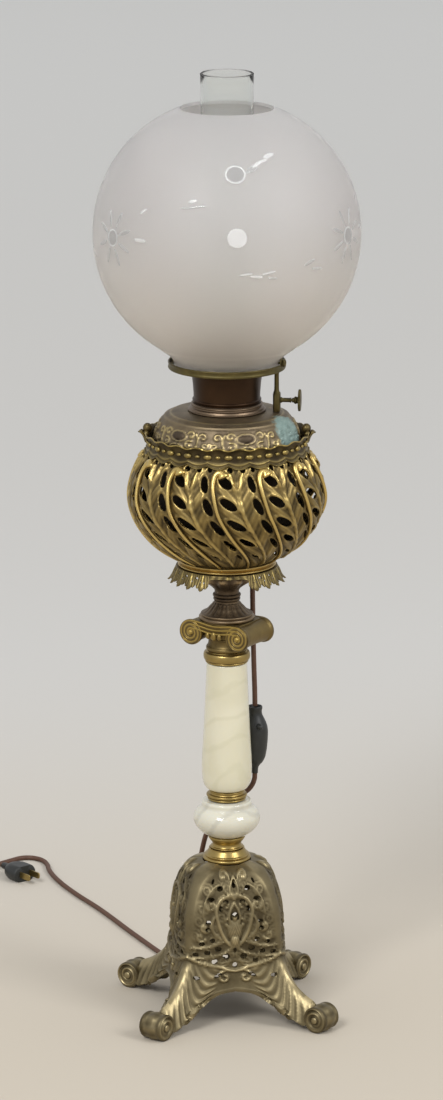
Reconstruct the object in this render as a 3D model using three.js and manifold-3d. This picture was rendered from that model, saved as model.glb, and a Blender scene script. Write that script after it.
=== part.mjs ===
// Electrified banquet lamp: pierced brass bowl and onyx column on a cast base, with a ball shade.
// Millimetres, +Z up. The origin is the middle of the base on the floor, and the front faces -Y.

import * as THREE from 'three';
import { mergeVertices } from 'three/addons/utils/BufferGeometryUtils.js';
import Module from 'manifold-3d';

const wasm = await Module();
wasm.setup();

// Fits that many pieces share.
const fitGap = 0.3;
const cutOverrun = 4;
const mergeTolerance = 0.0001;

// Round pieces are faceted with these counts.
const globeSides = 28;
const wideSides = 24;
const mediumSides = 18;
const smallSides = 12;
const tinySides = 8;

// Cast base: a hollow square bell on four scrolled feet.
const baseHeight = 153.6;
const bellHalfWidth = 54;
const bellCornerPoints = 24;
const bellWall = 4;
const bellTopWall = 6;
const bellBottom = 24;
const archHalfWidth = 42;
const archApex = 38;
const footReach = 127;
const toeRadius = 13;
const footWidth = 24;
const footPadHalf = 5;
const footBossProud = 2;
const faceHoleSides = 5;

// Turned pieces of the shaft, from the base up.
const collarRadius = 23.8;
const collarHeight = 11.6;
const cupRadius = 18.3;
const cupHeight = 12.6;
const knopRadius = 33.2;
const knopHeight = 35.6;
const lowerRingRadius = 20.6;
const lowerRingHeight = 11;
const columnRadius = 24.8;
const columnHeight = 127.3;
const upperRingRadius = 23;
const upperRingHeight = 12;
const stemPlateRadius = 27.1;
const stemPlateHeight = 18.1;
const stemRadius = 25;
const stemHeight = 31;
const stemLobes = 12;
const stemSides = 24;
const stemLobeDepth = 0.8;

// Ionic capital.
const capitalHeight = 31.1;
const capitalNeckRadius = 20;
const voluteRadius = 12.5;
const voluteSpacing = 53;
const bolsterLength = 50;
const bolsterWaistRadius = 10.6;
const voluteFaceThickness = 6;
const voluteRelief = 1.2;
const voluteEyeProud = 1;
const capitalTurn = THREE.MathUtils.degToRad(-41.6);

// Rod that clamps the shaft together, with its nuts.
const rodRadius = 4;
const rodClearance = 0.4;
const nutRadius = 8;
const nutHeight = 6.5;
const washerRadius = 11;
const washerThickness = 1.2;
const rodProud = 2;

// Bowl, from its pan to its rim.
const panRadius = 46.5;
const panThickness = 2;
const skirtRootRadius = 48.8;
const skirtTipRadius = 55;
const skirtFlangeInner = 42;
const skirtFlangeThickness = 1.5;
const skirtDrop = 15;
const skirtNotch = 7;
const skirtWall = 1.6;
const skirtLeaves = 16;
const bandRadius = 48.2;
const bandHeight = 7.6;
const bandWall = 4.2;
const bowlRadius = 93.1;
const bowlHeight = 108.3;
const bowlWall = 2.4;
const bowlRepeats = 12;
const bowlRibHeight = 2.6;
const galleryRadius = 80.4;
const galleryRootRadius = 74.6;
const galleryHeight = 15;
const galleryWall = 2;
const galleryScallops = 16;
const galleryScallopDepth = 3.2;
const galleryLedge = 5;
const galleryLedgeThickness = 2;
const lugHeight = 8;
const lugWidth = 15;
const lugThickness = 3;

// Oil font in the bowl.
const tankRadius = 68;
const tankWall = 1.2;
const tankLift = 25.5;
const shoulderRadius = 72.2;
const shoulderHeight = 33.5;
const shoulderWall = 1.4;
const draughtTubeRadius = 12.7;
const draughtTubeWall = 0.9;
const draughtTubeBelowTank = 4;
const fillerAngle = THREE.MathUtils.degToRad(81.4);
const fillerDistance = 47;
const fillerRadius = 6.5;
const fillerHeight = 5;
const fillerWall = 1.2;
const fillerCapRadius = 8.5;
const fillerCapHeight = 5.5;
const fillerCapTop = 1.5;

// Burner, chimney seat and shade holder.
const burnerCollarRadius = 38;
const burnerCollarHeight = 7.6;
const burnerRadius = 34.4;
const burnerHeight = 30.2;
const burnerBore = 30.5;
const burnerFlangeRadius = 38.6;
const burnerFlangeHeight = 1.6;
const galleryCupRadius = 35.6;
const galleryCupWall = 1.2;
const galleryCupHeight = 10.7;
const galleryCupFloor = 1.5;
const galleryCupBore = 27;
const shadeRingRadius = 56.3;
const shadeRingWall = 1.6;
const shadeRingRim = 6.2;
const shadeRingLedge = 11.3;
const shadeRingLedgeThickness = 1.7;
const shadeHubRadius = 38.4;
const shadeHubDrop = 3.6;
const shadeSpokes = 4;
const shadeSpokeWidth = 7;
const ringLugRadius = 4.6;
const ringLugThickness = 1.8;
const ringLugRise = 10;
const ringLugAngle = THREE.MathUtils.degToRad(-28.6);
const ringScrewRadius = 1.3;
const ringScrewHeadRadius = 3.6;
const ringScrewHeadThickness = 2.4;
const ringScrewClearance = 0.3;

// Glass: a 10 inch ball on a 4 inch fitter, and a chimney.
const globeRadius = 127.5;
const globeNeckRadius = 50.8;
const globeNeckHeight = 10.6;
const globeTopRadius = 44.6;
const globeWall = 3;
const chimneyBaseRadius = 33.3;
const chimneyRadius = 25.2;
const chimneyHeight = 284;
const chimneyWall = 1.8;

// Wick winder: a rack driven by a pinion on the knob's spindle.
const winderAngle = THREE.MathUtils.degToRad(-14);
const winderDistance = 47.7;
const toothModule = 0.6;
const pinionTeeth = 8;
const pinionWidth = 3;
const rackWidth = 2.4;
const rackSpareTeeth = 5;
const toothBacklash = 0.12;
const spindleRadius = 1.1;
const knobRadius = 10.5;
const knobThickness = 2.4;
const knobHubRadius = 3;
const knobHubLength = 5;
const knobDistance = 23;
const spindleHeight = 10.5;
const housingWidth = 11;
const housingDepth = 7;
const housingHeight = 17.5;
const housingWall = 0.8;
const guideTubeRadius = 2.5;
const guideTubeWall = 0.5;
const wickTravel = 18;
const carrierHeight = 16;
const carrierWall = 1.6;
const carrierClearance = 0.5;
const carrierDrop = 50;
const carrierArmThickness = 2.4;

// Electric parts: candelabra socket, torpedo lamp, lead, cord, switch and plug.
const socketRadius = 10.5;
const socketFlangeRadius = 12.6;
const socketFlangeThickness = 1.6;
const socketHeight = 32;
const socketPlug = 9;
const socketCavityDepth = 24;
const bulbBaseRadius = 6.2;
const bulbBaseClearance = 0.8;
const bulbBaseWall = 0.8;
const bulbRadius = 17.5;
const bulbHeight = 100;
const bulbWall = 1;
const bulbMouthRadius = 4;
const leadRadius = 2.5;
const leadBend = 20;
const bushFlangeRadius = 7.5;
const bushFlangeThickness = 2;
const bushBarrelRadius = 5;
const bushBarrelHeight = 5;
const bushPlace = new THREE.Vector2(28, 20);
const cordRadius = 2.5;
const cordSides = 8;
const switchRadius = 12.9;
const switchHeight = 68;
const switchTop = 300.5;
const switchPlace = new THREE.Vector2(31.4, 23.8);
const switchScrewRadius = 1.4;
const switchScrewDropShare = 0.6;
const switchBarRadius = 2.6;
const switchBarDropShare = 0.26;
const switchBarTravel = 5;
const switchBarProud = 1;
const switchBarClearance = 0.3;
const switchBarAngle = THREE.MathUtils.degToRad(-78.6);
const plugRadius = 14.5;
const plugThickness = 17;
const plugLength = 26;
const plugBladeWidth = 6.4;
const plugBladeThickness = 1.5;
const plugBladeLength = 16;
const plugBladeSpacing = 12.7;
const plugBladeSink = 4;
const coilCentre = new THREE.Vector2(-227.5, 487);
const coilMeanRadius = 27.5;
const coilPitch = 5.6;
const coilEntryHeading = THREE.MathUtils.degToRad(214.4);
const coilExitHeading = THREE.MathUtils.degToRad(301.4);
const coilFullTurns = 4;
const coilStepsPerTurn = 24;
const coilSides = 5;
const coilLeadIn = 5;
const tailLength = 60;

// Materials, one for each finish that the photograph shows.
function finish(color, metalness, roughness, opacity = 1) {
  return new THREE.MeshStandardMaterial({
    color, metalness, roughness, opacity, transparent: opacity < 1,
  });
}
const agedBronze = finish(0x6f6148, 0.8, 0.55);
const brightBrass = finish(0xb08a3c, 0.95, 0.3);
const bowlBrass = finish(0x9a7d3a, 0.9, 0.42);
const stemBronze = finish(0x4a3c2c, 0.8, 0.5);
const burnerBrown = finish(0x33261b, 0.75, 0.45);
const shoulderBrass = finish(0x83704c, 0.8, 0.5);
const creamOnyx = finish(0xe6e0c4, 0, 0.35);
const whiteOnyx = finish(0xeceadd, 0, 0.2);
const frostedGlass = finish(0xd8d2cd, 0, 0.6, 0.6);
const clearGlass = finish(0xe4ece8, 0, 0.05, 0.25);
const steel = finish(0x8a8780, 1, 0.4);
const brownCord = finish(0x5b3d26, 0, 0.7);
const blackPlastic = finish(0x1d1d1e, 0, 0.35);
const whitePorcelain = finish(0xe9e5da, 0, 0.3);

// Makes a mesh of merged vertices without slivers, and turns it so that its faces point out.
function closedGeometry(source) {
  const bare = source.clone();
  for (const name of Object.keys(bare.attributes)) {
    if (name !== 'position') bare.deleteAttribute(name);
  }
  const merged = mergeVertices(bare, mergeTolerance);
  const index = merged.index.array;
  const position = merged.attributes.position;
  const kept = [];
  const corner = [new THREE.Vector3(), new THREE.Vector3(), new THREE.Vector3()];
  let volume = 0;
  for (let i = 0; i < index.length; i += 3) {
    const [a, b, c] = [index[i], index[i + 1], index[i + 2]];
    if (a === b || b === c || c === a) continue;
    kept.push(a, b, c);
    [a, b, c].forEach((vertex, k) => corner[k].fromBufferAttribute(position, vertex));
    volume += corner[0].dot(corner[1].cross(corner[2]));
  }
  if (volume < 0) kept.reverse();
  merged.setIndex(kept);
  return merged;
}

// Turns a closed geometry into a solid for joining and cutting.
function solidOf(geometry) {
  const closed = closedGeometry(geometry);
  return new wasm.Manifold(new wasm.Mesh({
    numProp: 3,
    vertProperties: new Float32Array(closed.attributes.position.array),
    triVerts: new Uint32Array(closed.index.array),
  }));
}

// Turns a solid back into a geometry.
function geometryOf(solid) {
  const mesh = solid.getMesh();
  const geometry = new THREE.BufferGeometry();
  geometry.setAttribute('position', new THREE.BufferAttribute(new Float32Array(mesh.vertProperties), 3));
  geometry.setIndex(new THREE.BufferAttribute(new Uint32Array(mesh.triVerts), 1));
  return geometry;
}

// Revolves a closed outline of [radius, height] points about Z.
function revolved(points, sides) {
  const outline = [...points, points[0]].map(([radius, height]) => new THREE.Vector2(radius, height));
  return new THREE.LatheGeometry(outline, sides).rotateX(Math.PI / 2);
}

// A turned piece: an outline given as shares of its radius and height, with a straight bore.
function turned(outlineShares, radius, height, bore, sides) {
  const outside = outlineShares.map(([r, z]) => [r * radius, z * height]);
  const top = outside[outside.length - 1][1];
  const bottom = outside[0][1];
  return revolved([...outside, [bore, top], [bore, bottom]], sides);
}

// A thin shell of revolution: the outline and a copy of it moved inwards by the wall.
function shell(outside, wall, sides) {
  const inside = outside.map(([radius, height], i) => {
    const before = outside[Math.max(i - 1, 0)];
    const after = outside[Math.min(i + 1, outside.length - 1)];
    const along = new THREE.Vector2(after[0] - before[0], after[1] - before[1]).normalize();
    return [radius - along.y * wall, height + along.x * wall];
  });
  return revolved([...outside, ...inside.reverse()], sides);
}

// A straight cylinder along Z from one height to another.
function pillar(radius, low, high, sides) {
  return new THREE.CylinderGeometry(radius, radius, high - low, sides)
    .rotateX(Math.PI / 2)
    .translate(0, 0, (low + high) / 2);
}

// A straight cylinder along X from one place to another.
function bar(radius, start, end, sides) {
  return pillar(radius, start, end, sides).rotateY(Math.PI / 2);
}

// A box between two corners.
function block(low, high) {
  const size = high.map((value, i) => value - low[i]);
  const middle = high.map((value, i) => (value + low[i]) / 2);
  return new THREE.BoxGeometry(...size).translate(...middle);
}

// Skins a ring of sections, each a closed loop of points, into one closed body.
function skinned(sections, closedLoop) {
  const positions = [];
  const indices = [];
  const count = sections[0].length;
  for (const section of sections) {
    for (const point of section) positions.push(point.x, point.y, point.z);
  }
  const last = closedLoop ? sections.length : sections.length - 1;
  for (let i = 0; i < last; i += 1) {
    const here = i * count;
    const next = ((i + 1) % sections.length) * count;
    for (let k = 0; k < count; k += 1) {
      const m = (k + 1) % count;
      indices.push(here + k, next + k, next + m, here + k, next + m, here + m);
    }
  }
  if (!closedLoop) {
    const end = (sections.length - 1) * count;
    for (let k = 1; k < count - 1; k += 1) {
      indices.push(0, k, k + 1, end, end + k + 1, end + k);
    }
  }
  const geometry = new THREE.BufferGeometry();
  geometry.setAttribute('position', new THREE.Float32BufferAttribute(positions, 3));
  geometry.setIndex(indices);
  return geometry;
}

// A round tube of even steps along a list of points, without a twist.
function tubeThrough(points, radius, sides) {
  const side = new THREE.Vector3(0, 0, 1);
  const sections = points.map((point, i) => {
    const before = points[Math.max(i - 1, 0)];
    const after = points[Math.min(i + 1, points.length - 1)];
    const along = new THREE.Vector3().subVectors(after, before).normalize();
    side.addScaledVector(along, -side.dot(along)).normalize();
    const across = new THREE.Vector3().crossVectors(along, side);
    const ring = [];
    for (let k = 0; k < sides; k += 1) {
      const angle = (k / sides) * Math.PI * 2;
      ring.push(point.clone()
        .addScaledVector(side, radius * Math.cos(angle))
        .addScaledVector(across, radius * Math.sin(angle)));
    }
    return ring;
  });
  return skinned(sections, false);
}

// A free cord or lead: a round section along a smooth curve through chosen points.
function cordAlong(points, radius, steps) {
  const section = new THREE.Shape();
  section.absarc(0, 0, radius, 0, Math.PI * 2);
  const curve = new THREE.CatmullRomCurve3(points, false, 'centripetal');
  return new THREE.ExtrudeGeometry(section, {
    steps, curveSegments: cordSides / 2, bevelEnabled: false, extrudePath: curve,
  });
}

const lamp = new THREE.Group();

function addPiece(name, geometry, material, group = lamp) {
  const closed = closedGeometry(geometry);
  closed.computeVertexNormals();
  const mesh = new THREE.Mesh(closed, material);
  mesh.name = name;
  group.add(mesh);
  return mesh;
}

const boreRadius = rodRadius + rodClearance;

// Heights where the stacked pieces stand, each a fit gap above the one below.
const collarSeat = baseHeight + fitGap;
const cupSeat = collarSeat + collarHeight + fitGap;
const knopSeat = cupSeat + cupHeight + fitGap;
const lowerRingSeat = knopSeat + knopHeight + fitGap;
const columnSeat = lowerRingSeat + lowerRingHeight + fitGap;
const upperRingSeat = columnSeat + columnHeight + fitGap;
const capitalSeat = upperRingSeat + upperRingHeight + fitGap;
const stemPlateSeat = capitalSeat + capitalHeight + fitGap;
const stemSeat = stemPlateSeat + stemPlateHeight + fitGap;
const panSeat = stemSeat + stemHeight + fitGap;
const skirtSeat = panSeat + panThickness + fitGap;
const bandSeat = skirtSeat + skirtFlangeThickness + fitGap;
const bowlSeat = bandSeat + bandHeight + fitGap;
const gallerySeat = bowlSeat + bowlHeight + fitGap;
const shoulderSeat = gallerySeat + galleryLedgeThickness + fitGap;
const burnerCollarSeat = shoulderSeat + shoulderHeight + fitGap;
const burnerSeat = burnerCollarSeat + burnerCollarHeight + fitGap;
const galleryCupSeat = burnerSeat + burnerHeight + fitGap;
const chimneySeat = galleryCupSeat + galleryCupFloor + fitGap;
const shadeLedgeTop = galleryCupSeat + shadeHubDrop + shadeRingLedgeThickness;
const globeSeat = shadeLedgeTop + fitGap;

// Cast base. The bell's plan is a square with rounded corners that gets squarer and wider downwards.
const bellLevels = [
  { heightShare: 1, widthShare: 0.44, squareness: 2 },
  { heightShare: 0.972, widthShare: 0.68, squareness: 2.3 },
  { heightShare: 0.92, widthShare: 0.785, squareness: 2.7 },
  { heightShare: 0.853, widthShare: 0.855, squareness: 3.2 },
  { heightShare: 0.72, widthShare: 0.935, squareness: 3.8 },
  { heightShare: 0.5, widthShare: 0.975, squareness: 4.2 },
  { heightShare: 0.36, widthShare: 1.0, squareness: 4.6 },
  { heightShare: 0.25, widthShare: 1.06, squareness: 5 },
];

function squarePlan(halfWidth, squareness, height) {
  const points = [];
  for (let k = 0; k < bellCornerPoints; k += 1) {
    const angle = (k / bellCornerPoints) * Math.PI * 2;
    const c = Math.abs(Math.cos(angle)) ** squareness;
    const s = Math.abs(Math.sin(angle)) ** squareness;
    const reach = halfWidth / (c + s) ** (1 / squareness);
    points.push(new THREE.Vector3(reach * Math.cos(angle), reach * Math.sin(angle), height));
  }
  return points;
}

function bellBody(inset, top) {
  const below = bellLevels.filter((level) => level.heightShare * baseHeight < top);
  const plans = below.map((level) => squarePlan(
    level.widthShare * bellHalfWidth - inset, level.squareness, level.heightShare * baseHeight,
  ));
  const upper = bellLevels[bellLevels.length - below.length - 1];
  const lower = bellLevels[bellLevels.length - 1];
  plans.unshift(squarePlan(upper.widthShare * bellHalfWidth - inset, upper.squareness, top));
  plans.push(squarePlan(
    lower.widthShare * bellHalfWidth - inset, lower.squareness,
    inset > 0 ? bellBottom - cutOverrun : bellBottom,
  ));
  return solidOf(skinned(plans, false));
}

// Side view of one foot, from inside the bell's corner out to its round toe.
function footOutline() {
  const toe = footReach - toeRadius;
  const shape = new THREE.Shape();
  shape.moveTo(bellHalfWidth * 1.04, bellBottom + toeRadius * 0.4);
  shape.lineTo(bellHalfWidth * 1.04, bellBottom + toeRadius * 3.6);
  shape.quadraticCurveTo(
    bellHalfWidth * 1.44, bellBottom + toeRadius * 1.25, toe - toeRadius * 0.55, toeRadius * 1.86,
  );
  shape.absarc(toe, toeRadius, toeRadius, Math.PI * 0.62, -Math.PI * 0.36, true);
  shape.lineTo(toe + footPadHalf, 0);
  shape.lineTo(toe - footPadHalf, 0);
  shape.lineTo(toe - toeRadius, toeRadius * 0.5);
  shape.lineTo(bellHalfWidth * 1.4, toeRadius * 1.35);
  return shape;
}

function oneFoot() {
  const body = new THREE.ExtrudeGeometry(footOutline(), {
    depth: footWidth, curveSegments: 3, bevelEnabled: false,
  }).translate(0, 0, -footWidth / 2).rotateX(Math.PI / 2);
  const bossReach = footWidth / 2 + footBossProud;
  const boss = bar(toeRadius * 0.45, -bossReach, bossReach, tinySides)
    .rotateZ(Math.PI / 2).translate(footReach - toeRadius, 0, toeRadius);
  return solidOf(body).add(solidOf(boss));
}

// Openings of each face, as shares of the bell's half width across and of its height up.
const faceHoleShares = [
  [0.1, 0.81, 0.07], [-0.3, 0.7, 0.08], [0.31, 0.66, 0.08],
  [-0.48, 0.46, 0.09], [-0.16, 0.44, 0.09], [0.16, 0.44, 0.09], [0.48, 0.46, 0.09],
];

function baseCasting() {
  const feet = [];
  for (let k = 0; k < 4; k += 1) {
    feet.push(oneFoot().rotate([0, 0, 45 + k * 90]));
  }
  let casting = bellBody(0, baseHeight);
  for (const foot of feet) casting = casting.add(foot);
  casting = casting.subtract(bellBody(bellWall, baseHeight - bellTopWall));
  const reach = bellHalfWidth * 1.2;
  for (const turn of [0, 90]) {
    const arch = pillar(1, -reach, reach, tinySides)
      .scale(archHalfWidth, archApex - bellBottom + cutOverrun, 1)
      .rotateX(Math.PI / 2)
      .translate(0, 0, bellBottom - cutOverrun);
    casting = casting.subtract(solidOf(arch).rotate([0, 0, turn]));
    for (const [acrossShare, upShare, sizeShare] of faceHoleShares) {
      const hole = pillar(sizeShare * bellHalfWidth, -reach, reach, faceHoleSides)
        .rotateX(Math.PI / 2)
        .translate(acrossShare * bellHalfWidth, 0, upShare * baseHeight);
      casting = casting.subtract(solidOf(hole).rotate([0, 0, turn]));
    }
  }
  const bore = pillar(boreRadius, baseHeight - bellTopWall - cutOverrun, baseHeight + cutOverrun, tinySides);
  return geometryOf(casting.subtract(solidOf(bore)));
}
addPiece('base_casting', baseCasting(), agedBronze);

// Turned brass and onyx of the shaft.
const collarShares = [[1, 0], [1, 0.3], [0.98, 0.5], [0.9, 0.74], [0.74, 1]];
const cupShares = [[0.86, 0], [0.78, 0.26], [0.88, 0.52], [1, 0.88], [1, 1]];
const knopShares = [
  [0.56, 0], [0.76, 0.12], [0.93, 0.3], [1, 0.5], [0.95, 0.7], [0.79, 0.84], [0.68, 1],
];
const lowerRingShares = [[0.84, 0], [0.95, 0.15], [0.98, 0.4], [0.9, 0.62], [0.84, 1]];
const columnShares = [
  [0.79, 0], [0.91, 0.035], [0.98, 0.1], [1, 0.19], [0.952, 0.38], [0.8, 1],
];
const upperRingShares = [[0.84, 0], [0.97, 0.2], [1, 0.5], [0.95, 0.8], [0.84, 1]];
const stemPlateShares = [
  [1, 0], [0.965, 0.2], [0.89, 0.36], [0.74, 0.62], [0.52, 0.84], [0.45, 1],
];

function addTurned(name, outlineShares, radius, height, seat, material, sides) {
  addPiece(name, turned(outlineShares, radius, height, boreRadius, sides).translate(0, 0, seat), material);
}
addTurned('base_collar', collarShares, collarRadius, collarHeight, collarSeat, brightBrass, mediumSides);
addTurned('knop_cup', cupShares, cupRadius, cupHeight, cupSeat, brightBrass, mediumSides);
addTurned('onyx_knop', knopShares, knopRadius, knopHeight, knopSeat, whiteOnyx, mediumSides);
addTurned('lower_column_ring', lowerRingShares, lowerRingRadius, lowerRingHeight, lowerRingSeat,
  brightBrass, mediumSides);
addTurned('onyx_column', columnShares, columnRadius, columnHeight, columnSeat, creamOnyx, mediumSides);
addTurned('upper_column_ring', upperRingShares, upperRingRadius, upperRingHeight, upperRingSeat,
  brightBrass, mediumSides);
addTurned('stem_plate', stemPlateShares, stemPlateRadius, stemPlateHeight, stemPlateSeat,
  stemBronze, mediumSides);

// Ionic capital: a round neck under a block with two bolsters that end in round scroll faces.
function ionicCapital() {
  const neckShares = [[0.98, 0], [1, 0.1], [0.94, 0.2], [0.94, 0.4], [1.1, 0.62], [1.1, 0.9]];
  let capital = solidOf(turned(neckShares, capitalNeckRadius, capitalHeight, boreRadius, smallSides));
  const middle = capitalHeight - voluteRadius;
  const halfLength = bolsterLength / 2;
  const faceInner = halfLength - voluteFaceThickness;
  for (const side of [-1, 1]) {
    const bolster = revolved([
      [0, -faceInner], [voluteRadius - voluteRelief, -faceInner], [bolsterWaistRadius, 0],
      [voluteRadius - voluteRelief, faceInner], [0, faceInner],
    ], smallSides).rotateX(Math.PI / 2);
    capital = capital.add(solidOf(bolster.translate(side * voluteSpacing / 2, 0, middle)));
    for (const end of [-1, 1]) {
      const outer = end * halfLength;
      const inner = end * (faceInner - voluteRelief);
      const face = pillar(voluteRadius, Math.min(outer, inner), Math.max(outer, inner), smallSides)
        .rotateX(Math.PI / 2);
      const tip = outer + end * voluteEyeProud;
      const eye = pillar(voluteRadius * 0.3, Math.min(inner, tip), Math.max(inner, tip), tinySides)
        .rotateX(Math.PI / 2);
      capital = capital.add(solidOf(face.translate(side * voluteSpacing / 2, 0, middle)));
      capital = capital.add(solidOf(eye.translate(side * voluteSpacing / 2, 0, middle)));
    }
  }
  const blockBottom = capitalHeight - voluteRadius;
  const halfSpan = voluteSpacing / 2;
  const cap = block(
    [-halfSpan, -halfLength + voluteRelief, blockBottom],
    [halfSpan, halfLength - voluteRelief, capitalHeight - voluteRelief / 2],
  );
  capital = capital.add(solidOf(cap));
  return capital.subtract(solidOf(pillar(boreRadius, -cutOverrun, capitalHeight + cutOverrun, tinySides)));
}
const capital = addPiece('ionic_capital', geometryOf(ionicCapital()), stemBronze);
capital.rotation.z = capitalTurn;
capital.position.z = capitalSeat;

// Stem with a lobed head: a turned outline whose upper part swells in lobes.
const stemShares = [
  [0.48, 0, 0], [0.53, 0.15, 0], [0.49, 0.26, 0], [0.54, 0.33, 0.4], [0.7, 0.45, 1],
  [0.97, 0.7, 1], [1, 0.82, 0.8], [0.86, 1, 0],
];
function stemBaluster() {
  const sections = [];
  for (let k = 0; k < stemSides; k += 1) {
    const angle = (k / stemSides) * Math.PI * 2;
    const lobe = stemLobeDepth * Math.cos(angle * stemLobes);
    const profile = stemShares.map(([r, z, lobed]) => [r * stemRadius + lobe * lobed, z * stemHeight]);
    profile.push([boreRadius, stemHeight], [boreRadius, 0]);
    sections.push(profile.map(([radius, height]) => new THREE.Vector3(
      radius * Math.cos(angle), radius * Math.sin(angle), height,
    )));
  }
  return skinned(sections, true);
}
addPiece('stem_baluster', stemBaluster().translate(0, 0, stemSeat), stemBronze);

// Rod, nuts and washer.
const rodBottom = baseHeight - bellTopWall - fitGap - washerThickness - fitGap - nutHeight - rodProud;
const bowlNutSeat = panSeat + panThickness + fitGap;
const rodTop = bowlNutSeat + nutHeight + rodProud;
addPiece('tie_rod', pillar(rodRadius, rodBottom, rodTop, tinySides), steel);
function hexNut(seat) {
  const blank = pillar(nutRadius, seat, seat + nutHeight, 6);
  const bore = pillar(boreRadius, seat - cutOverrun, seat + nutHeight + cutOverrun, tinySides);
  return geometryOf(solidOf(blank).subtract(solidOf(bore)));
}
const washerSeat = baseHeight - bellTopWall - fitGap - washerThickness;
addPiece('base_nut', hexNut(washerSeat - fitGap - nutHeight), steel);
addPiece('base_washer', revolved([
  [washerRadius, washerSeat], [washerRadius, washerSeat + washerThickness],
  [boreRadius, washerSeat + washerThickness], [boreRadius, washerSeat],
], smallSides), steel);
addPiece('bowl_nut', hexNut(bowlNutSeat), brightBrass);

// Pan that closes the bowl, with a hole for the cord bush.
function bowlPan() {
  const disc = solidOf(revolved([
    [panRadius, panSeat], [panRadius, panSeat + panThickness],
    [boreRadius, panSeat + panThickness], [boreRadius, panSeat],
  ], mediumSides));
  const top = panSeat + panThickness;
  const hole = pillar(bushBarrelRadius + fitGap, panSeat - cutOverrun, top + cutOverrun, smallSides)
    .translate(bushPlace.x, bushPlace.y, 0);
  return geometryOf(disc.subtract(solidOf(hole)));
}
addPiece('bowl_pan', bowlPan(), bowlBrass);

// Skirt: a flat flange with a ring of leaves that hang and spread.
function bowlSkirt() {
  const sections = [];
  const sides = skirtLeaves * 2;
  const fall = (share) => skirtSeat - share * skirtDrop;
  for (let k = 0; k < sides; k += 1) {
    const angle = (k / sides) * Math.PI * 2;
    const leaf = (1 + Math.cos(angle * skirtLeaves)) / 2;
    const length = 1 - (skirtNotch / skirtDrop) * (1 - leaf);
    const spread = skirtTipRadius - skirtRootRadius;
    const tip = skirtRootRadius + spread * length;
    const profile = [
      [skirtFlangeInner, skirtSeat], [skirtFlangeInner, skirtSeat + skirtFlangeThickness],
      [skirtRootRadius, skirtSeat + skirtFlangeThickness],
      [skirtRootRadius + spread * 0.3, fall(0.35)],
      [tip, fall(length)],
      [tip - skirtWall, fall(length) + skirtWall / 4],
      [skirtRootRadius + spread * 0.3 - skirtWall, fall(0.3)],
      [skirtRootRadius - skirtWall, skirtSeat],
    ];
    sections.push(profile.map(([radius, height]) => new THREE.Vector3(
      radius * Math.cos(angle), radius * Math.sin(angle), height,
    )));
  }
  return skinned(sections, true);
}
addPiece('bowl_skirt', bowlSkirt(), brightBrass);

const bandShares = [[0.96, 0], [1, 0.2], [1, 0.8], [0.97, 1]];
addPiece('bowl_band', turned(bandShares, bandRadius, bandHeight, bandRadius - bandWall, mediumSides)
  .translate(0, 0, bandSeat), brightBrass);

// Pierced bowl: a shell of revolution whose grid of cells leans in an S. In each repeat a raised rib
// runs from rim to foot, with a row of openings on either side and a leaf between the rows.
const bowlShares = [
  [0.518, 0], [0.68, 0.09], [0.81, 0.19], [0.92, 0.32], [0.984, 0.45], [1.003, 0.57],
  [0.98, 0.69], [0.93, 0.81], [0.855, 0.92], [0.795, 1],
];
const bowlLeanShares = [0.75, 0.58, 0.38, 0.13, -0.06, -0.2, -0.28, -0.33, -0.34, -0.34];
const bowlColumnShares = [-0.11, 0, 0.11, 0.36, 0.63];
const bowlRibColumn = 1;
const bowlOpenRows = [[], [], [1, 3, 5, 7], [], [2, 4, 6]];

// A closed shell on a grid of cells, some of them left open. Columns run round and close on the first.
function latticeShell(outer, inner, isOpen) {
  const columns = outer.length;
  const rows = outer[0].length - 1;
  const positions = [];
  const indices = [];
  for (const points of [...outer, ...inner]) {
    for (const point of points) positions.push(point.x, point.y, point.z);
  }
  const at = (side, i, j) => (side * columns + ((i + columns) % columns)) * (rows + 1) + j;
  const missing = (i, j) => j < 0 || j >= rows || isOpen((i + columns) % columns, j);
  const quad = (a, b, c, d) => indices.push(a, b, c, a, c, d);
  for (let i = 0; i < columns; i += 1) {
    for (let j = 0; j < rows; j += 1) {
      if (missing(i, j)) continue;
      const front = [at(0, i, j), at(0, i + 1, j), at(0, i + 1, j + 1), at(0, i, j + 1)];
      const back = [at(1, i, j), at(1, i + 1, j), at(1, i + 1, j + 1), at(1, i, j + 1)];
      quad(...front);
      quad(back[0], back[3], back[2], back[1]);
      if (missing(i, j - 1)) quad(front[0], back[0], back[1], front[1]);
      if (missing(i, j + 1)) quad(front[3], front[2], back[2], back[3]);
      if (missing(i - 1, j)) quad(front[0], front[3], back[3], back[0]);
      if (missing(i + 1, j)) quad(front[1], back[1], back[2], front[2]);
    }
  }
  const geometry = new THREE.BufferGeometry();
  geometry.setAttribute('position', new THREE.Float32BufferAttribute(positions, 3));
  geometry.setIndex(indices);
  return geometry;
}

function piercedBowl() {
  const perRepeat = bowlColumnShares.length;
  const repeatAngle = (Math.PI * 2) / bowlRepeats;
  const columnAt = (i, inset) => {
    const share = Math.floor(i / perRepeat) + bowlColumnShares[i % perRepeat];
    return bowlShares.map(([radiusShare, heightShare], j) => {
      const inEdge = j === 0 || j === bowlShares.length - 1;
      const rise = i % perRepeat === bowlRibColumn && !inEdge ? bowlRibHeight : 0;
      const radius = radiusShare * bowlRadius + (inset > 0 ? -inset : rise);
      const angle = repeatAngle * (share + bowlLeanShares[j]);
      return new THREE.Vector3(
        radius * Math.cos(angle), radius * Math.sin(angle), heightShare * bowlHeight,
      );
    });
  };
  const outer = [];
  const inner = [];
  for (let i = 0; i < bowlRepeats * perRepeat; i += 1) {
    outer.push(columnAt(i, 0));
    inner.push(columnAt(i, bowlWall));
  }
  return latticeShell(outer, inner, (i, j) => bowlOpenRows[i % perRepeat].includes(j));
}
addPiece('pierced_bowl', piercedBowl().translate(0, 0, bowlSeat), bowlBrass);

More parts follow.
